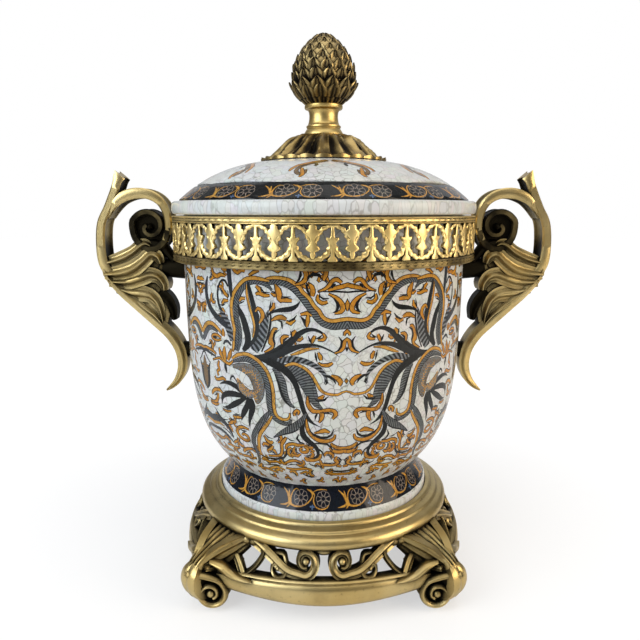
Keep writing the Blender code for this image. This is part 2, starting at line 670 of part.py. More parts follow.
def main():
    clear_scene()
    urn = new_collection("mantel_urn")
    tools = new_collection("cutters")
    porcelain = principled("crackled_porcelain", (0.72, 0.73, 0.70), 0.18, 0.0)
    brass = principled("antique_brass", (0.50, 0.36, 0.13), 0.34, 1.0)
    gilt = principled("gallery_gilt", (0.78, 0.56, 0.18), 0.28, 1.0)
    bronze = principled("dark_bronze", (0.20, 0.15, 0.08), 0.42, 1.0)
    turned("porcelain_jar", jar_profile(), TURNED_STEPS, urn, porcelain)
    turned("porcelain_lid", lid_profile(), TURNED_STEPS, urn, porcelain)
    build_gallery(urn, tools, gilt)
    build_leaf_cap(urn, bronze)
    turned("finial_stem", stem_profile(), STEM_STEPS, urn, brass)
    build_cone(urn, bronze)
    build_handles(urn, tools, brass)
    build_stand(urn, tools, brass)


main()
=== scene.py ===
# %% [markdown]
# A mantel urn, dressed piece by piece
#
# The real object is a crackle-glazed porcelain jar with a domed lid, painted with
# scrolls and plumes, and held in cast and gilt brass mounts. The frame that this
# lesson loads holds its measured solids. Every piece made here goes round that frame
# in metres, at the origin, with its place in its own mesh.

# %% Load the frame
import bisect
import bmesh
import bpy
import math
from mathutils import Matrix, Vector
from mathutils.geometry import delaunay_2d_cdt


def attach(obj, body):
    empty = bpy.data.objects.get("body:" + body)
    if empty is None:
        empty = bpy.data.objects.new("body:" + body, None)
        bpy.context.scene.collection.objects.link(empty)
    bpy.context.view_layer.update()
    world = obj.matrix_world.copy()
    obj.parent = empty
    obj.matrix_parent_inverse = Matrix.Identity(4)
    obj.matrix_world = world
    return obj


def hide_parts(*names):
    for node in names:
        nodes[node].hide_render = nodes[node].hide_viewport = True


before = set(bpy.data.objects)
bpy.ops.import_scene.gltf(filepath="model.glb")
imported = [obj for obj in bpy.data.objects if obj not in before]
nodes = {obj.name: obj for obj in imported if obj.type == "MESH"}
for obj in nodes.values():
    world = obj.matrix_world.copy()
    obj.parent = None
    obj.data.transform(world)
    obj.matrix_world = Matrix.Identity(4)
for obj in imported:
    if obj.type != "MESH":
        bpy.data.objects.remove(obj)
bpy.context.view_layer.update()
print("frame nodes:", sorted(nodes))

# %% [markdown]
# Sizes that the pieces share
#
# The turned pieces all sit on one axis, so most of the urn follows from a few radii
# and heights. They repeat the frame's own sizes, in metres, so that each finer piece
# lands exactly where its solid stands.

# %% Shared sizes
JAR_WAIST_Z = 0.0835
JAR_RIM_Z = 0.2697
JAR_WAIST_RADIUS = 0.0735
JAR_BELLY_RADIUS = 0.1053
JAR_FULLNESS = 6.3
LID_TOP_Z = 0.3095
LID_RADIUS = 0.113
LID_SHOULDER_RADIUS = 0.109
LID_DOME_HEIGHT = 0.031
LID_DOME_POWER = 3.4
RING_UNDER_Z = 0.0472
MM = 0.001


def jar_radius(height):
    """The jar's outer radius at a height above its waist."""
    share = (height - JAR_WAIST_Z) / (JAR_RIM_Z - JAR_WAIST_Z)
    return JAR_BELLY_RADIUS - (JAR_BELLY_RADIUS - JAR_WAIST_RADIUS) * math.exp(-JAR_FULLNESS * share)


def lid_height(radius):
    """The lid's outer surface over its dome."""
    return LID_TOP_Z - LID_DOME_HEIGHT * (radius / LID_SHOULDER_RADIUS) ** LID_DOME_POWER


print("jar radius at mid height:", round(jar_radius(0.17), 4))

# %% [markdown]
# The camera
#
# The photograph was taken from close by and a little above, which is why the urn's
# feet spread and the lid shows its dome. A short lens near the object gives the same
# foreshortening, where a long lens would flatten the rings into straight lines.

# %% Camera
camera = bpy.data.objects.new("camera", bpy.data.cameras.new("camera"))
camera.data.lens = 34.31
camera.data.sensor_width = 36.0
camera.location = (-0.0027, -0.472, 0.2731)
camera.rotation_euler = (math.radians(90.0 - 10.22), 0.0, 0.0)
bpy.context.scene.collection.objects.link(camera)
bpy.context.scene.camera = camera
bpy.context.scene.view_settings.view_transform = "Standard"
print("camera at", tuple(camera.location))

# %% [markdown]
# Shader sums written as Python
#
# A material is a net of nodes, and its masks are sums of their outputs. Wrapping a
# socket in a small class lets those sums be written as ordinary expressions, each of
# which adds its Math node, and one method on the finish makes any other node.


# %% Shader helpers
class Wire:
    """A node's output, which can be used in Python sums."""

    def __init__(self, finish, socket):
        self.finish = finish
        self.socket = socket

    def maths(self, operation, first, second=0.0):
        return self.finish.node("ShaderNodeMath", {"operation": operation}, {0: first, 1: second})

    def __add__(self, other):
        return self.maths("ADD", self, other)

    def __sub__(self, other):
        return self.maths("SUBTRACT", self, other)

    def __mul__(self, other):
        return self.maths("MULTIPLY", self, other)

    def __rsub__(self, other):
        return self.maths("SUBTRACT", other, self)

    __radd__ = __add__
    __rmul__ = __mul__


class Finish:
    """A material and the one way that nodes are added to it."""

    def __init__(self, name, **constants):
        self.material = bpy.data.materials.new(name)
        self.material.use_nodes = True
        self.tree = self.material.node_tree
        self.shader = self.tree.nodes["Principled BSDF"]
        for socket, value in constants.items():
            self.shader.inputs[socket.replace("_", " ")].default_value = value

    def node(self, kind, settings, inputs, output=0):
        made = self.tree.nodes.new(kind)
        for name, value in settings.items():
            setattr(made, name, value)
        for name, value in inputs.items():
            self.feed(made.inputs[name], value)
        return Wire(self, made.outputs[output])

    def feed(self, socket, value):
        if isinstance(value, Wire):
            self.tree.links.new(value.socket, socket)
        else:
            socket.default_value = value

    def set(self, socket, value):
        self.feed(self.shader.inputs[socket], value)

    def place(self):
        return self.node("ShaderNodeTexCoord", {}, {}, "Object")

    def mapped(self, stretch):
        """Object coordinates stretched along each axis."""
        return self.node("ShaderNodeMapping", {}, {"Vector": self.place(), "Scale": stretch})

    def noise(self, scale, detail=3.0, vector=None):
        return self.node("ShaderNodeTexNoise", {}, {"Vector": vector or self.place(), "Scale": scale,
                                                    "Detail": detail, "Roughness": 0.6}, "Fac")

    def ease(self, value, low, high, start=0.0, end=1.0):
        """A smooth step from start to end as a value goes from low to high."""
        return self.node("ShaderNodeMapRange", {"interpolation_type": "SMOOTHSTEP"},
                         {"Value": value, "From Min": low, "From Max": high,
                          "To Min": start, "To Max": end})

    def blend(self, factor, first, second, mode="MIX"):
        """A mix of two colours, each a link or three numbers."""
        first, second = [c if isinstance(c, Wire) else (*c, 1.0) for c in (first, second)]
        return self.node("ShaderNodeMix", {"data_type": "RGBA", "blend_type": mode},
                         {0: factor, 6: first, 7: second}, 2)

    def maths_of(self, operation, value):
        return self.node("ShaderNodeMath", {"operation": operation}, {0: value})

    def bump(self, height, strength, distance):
        return self.node("ShaderNodeBump", {},
                         {"Height": height, "Strength": strength, "Distance": distance}, "Normal")


print("shader helpers ready")

# %% [markdown]
# Studio
#
# A product photograph on white has a pale floor that runs into the background. What
# the camera sees is nearly white, while the metal is given a dimmer sky with a bright
# top, so that gilt and bronze keep their contrast. Cool light comes from the left and
# a warmer one from the right, as on the jar in the photograph.

# %% Floor
WHITE = (1.0, 1.0, 1.0)
PALE = (0.80, 0.80, 0.80)
BLACK = (0.0, 0.0, 0.0)
FLOOR_RADIUS = 6.0
SHADOW_REACH = (0.05, 0.42)
floor_mesh = bmesh.new()
bmesh.ops.create_circle(floor_mesh, cap_ends=True, segments=64, radius=FLOOR_RADIUS)
floor = bpy.data.objects.new("studio_floor", bpy.data.meshes.new("studio_floor"))
floor_mesh.to_mesh(floor.data)
floor_mesh.free()
bpy.context.scene.collection.objects.link(floor)
floor_finish = Finish("pale_floor", Roughness=0.8, Emission_Strength=1.0)
ground_place = floor_finish.place()
reach = floor_finish.node("ShaderNodeVectorMath", {"operation": "LENGTH"}, {0: ground_place}, "Value")
to_camera = floor_finish.node("ShaderNodeLightPath", {}, {}, "Is Camera Ray")
glow = floor_finish.ease(reach, *SHADOW_REACH, 0.55, 1.0) * to_camera
floor_finish.set("Emission Color", floor_finish.blend(glow, BLACK, WHITE))
floor_finish.set("Base Color", floor_finish.blend(glow, PALE, BLACK))
floor.data.materials.append(floor_finish.material)
print("floor:", floor.name, "radius", FLOOR_RADIUS, "m")

# %% [markdown]
# Four soft lights
#
# Each light is a large square, so its reflection on the glaze and the brass is broad
# and soft. All of them aim at the middle of the urn.


# %% Lights
def area_light(name, place, aim, size, power, colour):
    light = bpy.data.lights.new(name, "AREA")
    light.size = size
    light.energy = power
    light.color = colour
    holder = bpy.data.objects.new(name, light)
    holder.location = place
    holder.rotation_euler = (Vector(aim) - Vector(place)).to_track_quat("-Z", "Y").to_euler()
    bpy.context.scene.collection.objects.link(holder)


URN_BODY = (0.0, 0.0, 0.18)
URN_MIDDLE = (0.0, 0.0, 0.2)
area_light("cool_left", (-0.95, -0.75, 0.75), URN_BODY, 1.0, 17.0, (0.88, 0.94, 1.0))
area_light("warm_right", (0.95, -0.45, 0.5), URN_BODY, 0.7, 9.0, (1.0, 0.86, 0.68))
area_light("soft_top", (0.05, -0.25, 1.3), URN_MIDDLE, 1.2, 6.5, (1.0, 0.98, 0.95))
area_light("rear_fill", (0.2, 1.7, 1.0), URN_MIDDLE, 2.4, 8.0, (0.95, 0.97, 1.0))

# %% [markdown]
# Two skies in one
#
# The camera sees a white sky, while the urn is lit by a dimmer one that is brighter
# overhead. A camera ray picks the first, every other ray the second.

# %% Sky
SKY_LOW = (0.30, 0.30, 0.31, 1.0)
SKY_HIGH = (0.72, 0.73, 0.76, 1.0)
SKY_HIGH_FROM = 0.8
SKY_LIGHT = 0.46
sky = bpy.data.worlds.new("studio_sky")
sky.use_nodes = True
bpy.context.scene.world = sky
sky_nodes = sky.node_tree.nodes
sky_links = sky.node_tree.links
seen = sky_nodes["Background"]
seen.inputs["Color"].default_value = (*WHITE, 1.0)
seen.inputs["Strength"].default_value = 1.0
lit = sky_nodes.new("ShaderNodeBackground")
direction = sky_nodes.new("ShaderNodeTexCoord")
height = sky_nodes.new("ShaderNodeSeparateXYZ")
ramp = sky_nodes.new("ShaderNodeValToRGB")
ramp.color_ramp.elements[0].color = SKY_LOW
ramp.color_ramp.elements[1].position = SKY_HIGH_FROM
ramp.color_ramp.elements[1].color = SKY_HIGH
path = sky_nodes.new("ShaderNodeLightPath")
choose = sky_nodes.new("ShaderNodeMixShader")
sky_links.new(direction.outputs["Generated"], height.inputs[0])
sky_links.new(height.outputs["Z"], ramp.inputs["Fac"])
sky_links.new(ramp.outputs["Color"], lit.inputs["Color"])
lit.inputs["Strength"].default_value = SKY_LIGHT
sky_links.new(path.outputs["Is Camera Ray"], choose.inputs["Fac"])
sky_links.new(lit.outputs["Background"], choose.inputs[1])
sky_links.new(seen.outputs["Background"], choose.inputs[2])
sky_links.new(choose.outputs["Shader"], sky_nodes["World Output"].inputs["Surface"])
print("sky:", sky.name)

# %% [markdown]
# How the painting is drawn
#
# The jar's plumes and scrolls are flat colour under the glaze, so they are not raised.
# They are drawn as shapes, which stay sharp at any distance. Each motif is a brush
# stroke: points along its middle, in degrees round the wall and in millimetres of
# height, each with the brush's width there. The strokes are laid one over another in a
# flat sheet, a constrained triangulation cuts the sheet along their edges, and the
# sheet is then wrapped round the turned form.

# %% Brush strokes
def smooth_run(points, per_span):
    """Points of any length, carried through by a Catmull-Rom curve."""
    padded = [points[0], *points, points[-1]]
    run = []
    for i in range(len(points) - 1):
        before, start, end, after = padded[i:i + 4]
        for step in range(per_span):
            t = step / per_span
            run.append(tuple(0.5 * (2 * b + (c - a) * t + (2 * a - 5 * b + 4 * c - d) * t * t
                                    + (3 * b - a - 3 * c + d) * t ** 3)
                             for a, b, c, d in zip(before, start, end, after)))
    run.append(tuple(points[-1]))
    return run


print("three points become", len(smooth_run([(0, 0), (1, 1), (2, 0)], 2)), "places of a stroke")

# %% [markdown]
# A sheet of paint
#
# The sheet keeps each stroke as a row of quads. To find which stroke shows at a place,
# the quads are filed by small square cells, and of those that cover the place the one
# laid last wins.


# %% Sheet
CELL = 3.0
THINNEST = 0.12


class Sheet:
    """A flat sheet of paint: quads of strokes with their colours, later cut into triangles."""

    def __init__(self, per_degree, per_span=2):
        self.per_degree = per_degree
        self.per_span = per_span
        self.points = []
        self.quads = []
        self.paint = []

    def stroke(self, colour, points, margin=0.0, hatch=0.0, per_span=None):
        """points are (degrees, mm, width in mm)."""
        run = [(u * self.per_degree, z, max(w, THINNEST) + 2 * margin)
               for u, z, w in smooth_run(points, per_span or self.per_span)]
        along = 0.0
        edges = []
        for i, (x, z, width) in enumerate(run):
            ahead = Vector(run[min(i + 1, len(run) - 1)][:2]) - Vector(run[max(i - 1, 0)][:2])
            across = Vector((-ahead.y, ahead.x)).normalized() * width / 2
            if i:
                along += (Vector((x, z)) - Vector(run[i - 1][:2])).length
            first = len(self.points)
            self.points += [(x + across.x, z + across.y), (x - across.x, z - across.y)]
            edges.append((first, first + 1, along))
        for (a, b, from_along), (c, d, to_along) in zip(edges, edges[1:]):
            self.quads.append((a, b, d, c))
            self.paint.append((colour, hatch, {a: (from_along, 1.0), b: (from_along, -1.0),
                                               c: (to_along, 1.0), d: (to_along, -1.0)}))

    def outlined(self, colour, points, line="umber", margin=0.4, hatch=0.0, per_span=None):
        self.stroke(line, points, margin, 0.0, per_span)
        self.stroke(colour, points, 0.0, hatch, per_span)

    def owner(self, place, cells):
        """The last stroke laid over a place, or -1 where the ground shows."""
        for quad in reversed(cells.get((int(place.x // CELL), int(place.y // CELL)), ())):
            corners = [Vector(self.points[i]) for i in self.quads[quad]]
            for p, q, r in (corners[:3], (corners[0], corners[2], corners[3])):
                sides = [(q - p).cross(place - p), (r - q).cross(place - q), (p - r).cross(place - r)]
                if min(sides) >= 0 or max(sides) <= 0:
                    return quad
        return -1

    def cut(self, width, rows, step):
        """Triangles of the sheet from 0 to width mm and over the rows of heights."""
        points = [Vector(point) for point in self.points]
        edges = []
        cells = {}
        for number, quad in enumerate(self.quads):
            edges += list(zip(quad, quad[1:] + quad[:1]))
            across, up = zip(*(self.points[i] for i in quad))
            for i in range(int(min(across) // CELL), int(max(across) // CELL) + 1):
                for j in range(int(min(up) // CELL), int(max(up) // CELL) + 1):
                    cells.setdefault((i, j), []).append(number)
        base = len(points)
        columns = step + 1
        points += [Vector((k * width / step, z)) for z in rows for k in range(columns)]
        last = base + columns * (len(rows) - 1)
        for start in (base, last):
            edges += [(start + k, start + k + 1) for k in range(step)]
        for row in range(len(rows) - 1):
            for start in (base, base + step):
                edges.append((start + row * columns, start + (row + 1) * columns))
        places, _, faces, _, _, _ = delaunay_2d_cdt(points, edges, [], 0, 1e-5, False)
        triangles = []
        for corners in faces:
            middle = sum((places[i] for i in corners), Vector((0, 0))) / 3
            if 0 < middle.x < width and rows[0] < middle.y < rows[-1]:
                triangles.append((corners, self.owner(middle, cells)))
        return places, triangles

    def brush_place(self, quad, place):
        """Along and across of a point inside a stroke's quad."""
        a, b, d, c = [Vector(self.points[i]) for i in self.quads[quad]]
        marks = self.paint[quad][2]
        start, end = (a + b) / 2, (c + d) / 2
        run = end - start
        share = min(max((place - start).dot(run) / max(run.length_squared, 1e-9), 0.0), 1.0)
        half = max(((a - b).length * (1 - share) + (c - d).length * share) / 2, 1e-6)
        side = (place - start.lerp(end, share)).dot((a - b).normalized()) / half
        first, second = self.quads[quad][0], self.quads[quad][3]
        along = marks[first][0] * (1 - share) + marks[second][0] * share
        return along, min(max(side, -1.0), 1.0)


print("sheet ready, filed by cells of", CELL, "mm")

# %% [markdown]
# Colours and wrapping
#
# The cut sheet is laid round the axis as many times as the pattern repeats. Each corner
# takes its stroke's colour, and also how far along and across the stroke it lies,
# because the finish shades and hatches the paint by those.


# %% Colours and wrapping
GLAZES = {
    "ground": (0.575, 0.59, 0.58), "ochre": (0.46, 0.20, 0.02), "umber": (0.020, 0.012, 0.007),
    "black": (0.004, 0.005, 0.005), "grey": (0.125, 0.135, 0.14), "dark": (0.012, 0.014, 0.015),
    "slate": (0.026, 0.032, 0.040), "gold": (0.50, 0.25, 0.04), "navy": (0.005, 0.007, 0.012),
    "pale": (0.50, 0.52, 0.50), "tan": (0.15, 0.09, 0.035), "rosette": (0.26, 0.21, 0.17),
    "blue": (0.07, 0.12, 0.22),
}


def wrap(working, sheet, places, triangles, width, turns, mirrored, surface):
    """Lays copies of a cut sheet round the axis and writes each corner's paint."""
    tint = working.loops.layers.float_color.get("paint")
    brush = working.loops.layers.uv.get("brush")
    drawn = []
    for corners, quad in triangles:
        colour, hatch = ("ground", 0.0) if quad < 0 else sheet.paint[quad][:2]
        marks = [(0.0, 0.0) if quad < 0 else sheet.brush_place(quad, places[i]) for i in corners]
        drawn.append((corners, (*GLAZES[colour], hatch), marks))
    for turn in range(turns):
        flip = mirrored and turn % 2 == 1
        verts = []
        for x, z in places:
            x = min(max(x, 0.0), width)
            flat = (turn + 1) * width - x if flip else turn * width + x
            verts.append(working.verts.new(surface(flat / sheet.per_degree, z)))
        for corners, colour, marks in drawn:
            face = working.faces.new([verts[i] for i in corners])
            face.smooth = True
            for loop, mark in zip(face.loops, marks):
                loop[tint] = colour
                loop[brush].uv = mark


print("glaze colours:", sorted(GLAZES))

# %% [markdown]
# The plumes and scrolls of the jar
#
# The wall carries three large scrolled plumes, and each is the mirror image of its
# neighbour, so one sixth of the pattern, sixty degrees, is all that is drawn. Shaded
# grey bands carry a gold edge, black leaves fan out of a scaly cone, and small gold
# curls with black shadows fill the ground between them.

# %% The ground of small curls
wall = Sheet(per_degree=1.838)
FLOURISH = (("ochre", ((-4, -1, 0.5), (-2, 1.2, 1.7), (0.5, 1.6, 2.1), (2.8, 0.2, 1.9),
                       (3.2, -1.8, 1.3), (1.8, -2.6, 0.5))),
            ("ochre", ((-0.4, 2.4, 0.4), (1.4, 4.0, 1.4), (3.4, 4.4, 0.4))),
            ("black", ((-3.8, -2.6, 0.3), (-1.2, -0.7, 1.3), (1.0, -0.9, 1.1), (1.4, -2.4, 0.3))))


def flourish(u, z, size, turn):
    """A small curl with its shadow, filling the ground behind the large strokes."""
    c, s = math.cos(math.radians(turn)), math.sin(math.radians(turn))
    for colour, points in FLOURISH:
        placed = [(u + (x * c - y * s) * size / wall.per_degree, z + (x * s + y * c) * size, w * size)
                  for x, y, w in points]
        if colour == "ochre":
            wall.outlined(colour, placed, margin=0.55, per_span=1)
        else:
            wall.stroke(colour, placed, per_span=1)


for row in range(4):
    for column in range(8):
        flourish(1.6 + 7.9 * column + 3.9 * (row % 2),
                 90.5 + 8.2 * row + 1.3 * math.sin(2.1 * column + row),
                 0.86 + 0.05 * row, 40 + 118 * (column + row) + 25 * math.sin(3.3 * column))
for column, (u, z) in enumerate(((49, 126), (56, 131), (46, 133), (52, 216), (58, 222), (47, 223),
                                 (52, 231),
                                 (45, 237), (57, 238), (50, 241), (58, 209), (47, 207), (12, 238),
                                 (20, 241),
                                 (6, 241), (30, 241), (38, 240), (17, 196), (22, 184), (8, 232),
                                 (54, 184),
                                 (24, 223), (14, 229), (59, 166), (31, 119), (25, 126), (13, 122),
                                 (19, 117))):
    flourish(u, z, 0.92, 75 * column + 30)
print("ground of small curls:", len(wall.quads), "quads")

# %% [markdown]
# Large plumes
#
# Each plume is a grey band with a hatched face and a black edge, and a gold band runs
# beside it. The ones in the middle run on past the mirror line, so that they join there.

# %% The jar's large plumes
for gold, grey in (
        ([(-3, 206.6, 2), (0, 207.3, 2), (3, 206.6, 2), (5, 206.2, 1.9), (6.8, 206.9, 2),
          (8.3, 208.8, 2),
          (9.5, 212.5, 2.1), (10.9, 215, 2), (11.8, 217.5, 2), (13, 220.8, 1.9), (15, 224, 2),
          (16, 227, 2), (18, 229.6, 2), (20, 231.5, 1.9), (23, 232.4, 1.8), (26, 232.2, 1.6),
          (28.5, 230.8, 1)],
         [(-4, 202.8, 3.6), (0, 203.6, 4.2), (4, 202.8, 3.6), (6, 203.3, 3.6), (8, 205, 4),
          (10, 208.6, 4.2),
          (12, 213.4, 4), (14, 218.4, 4), (16, 222.8, 3.8), (18, 226.2, 3.6), (20, 228.3, 3.3),
          (22, 229.4, 3), (24, 229.9, 2.8), (26, 229.4, 2.2), (27.6, 228.3, 1)]),
        ([(26.5, 230.2, 0.8), (29, 231, 1.7), (32, 231.7, 2), (35, 231, 2), (37, 229, 2),
          (39, 225.6, 2), (41, 221, 2.2), (42, 216, 2.3), (42.3, 210, 2), (42, 204, 2.1),
          (41.2, 198, 2), (41.6, 192, 1.8), (42, 186, 1.6), (42.4, 182.5, 0.8)],
         [(25.6, 224.6, 0.4), (27, 227.2, 1.8), (29, 229, 2.6), (31.5, 229.7, 2.8),
          (34, 229, 3), (36.3, 226.6, 3.4), (38.3, 222.6, 3.8), (39.6, 217.5, 4),
          (40, 211.5, 4), (40, 205, 3.6), (39.6, 198, 3.4), (39.9, 190, 3.4), (40.6, 183.5, 3)]),
        ([(43, 177.6, 1), (40.4, 180.8, 1.9), (37, 182.3, 2), (34.5, 181.6, 2), (32, 179.4, 2),
          (30, 176.4, 2), (28.3, 172.5, 2), (27.2, 168, 2), (26.5, 163, 1.9), (26.1, 157, 1.9),
          (26.2, 150, 1.9), (25.9, 145, 1.9), (25, 142, 1.8), (23, 140.4, 1.6),
          (21.3, 140.8, 1.4), (20.4, 142.6, 1.1), (20.2, 145.6, 0.5)],
         [(43, 175.4, 0.6), (40, 177.6, 2), (36.8, 178.8, 2.8), (34, 178, 3.2),
          (31.8, 175.4, 3.4), (30.2, 172, 3.4), (28.9, 168, 3.3), (28.3, 163, 3.2),
          (28, 157, 3.2), (28, 150, 3), (27.6, 145, 2.8), (26.4, 141, 2.4), (24.4, 138.5, 2.2),
          (22, 137.4, 2), (20.3, 138.6, 1.6), (19.8, 141, 0.5)]),
        ([(27.2, 142, 0.8), (29, 137, 1.9), (31, 132.5, 2.1), (33, 128, 2.1), (34.3, 123, 2.1),
          (34.8, 118, 2), (35, 113, 1.4), (34, 108.5, 0.5)],
         [(27.8, 145.3, 1), (30, 140.6, 3.2), (32, 136.4, 3.4), (34, 131.5, 3.4), (36, 126.4, 3.2),
          (37, 121, 3), (37, 115.5, 2.6), (36.4, 109, 2), (37.4, 103.4, 1.2), (39, 101, 0.3)]),
        ([(47.2, 192.6, 0.6), (49, 195.5, 1.8), (51.5, 198.2, 2.2), (54, 199.2, 2.4),
          (56.5, 198, 2.6), (58.5, 195, 2.6), (60, 191.6, 2.2)],
         [(49.8, 194, 0.6), (53, 196.2, 2), (55.5, 195.2, 2.8), (57.5, 192, 3.4),
          (58.7, 188.6, 3), (60, 187, 2)])):
    wall.stroke("black", grey, 0.5)
    wall.stroke("grey", grey, 0.0, hatch=0.5)
    wall.outlined("gold", gold, margin=0.5)
print("with the plumes:", len(wall.quads), "quads")

# %% [markdown]
# Feathers and leaves
#
# Dark feathers hang from the plumes, and black leaves fan out like the fingers of a
# hand. Each has a colour, the kind of hatching on its face, and its points.

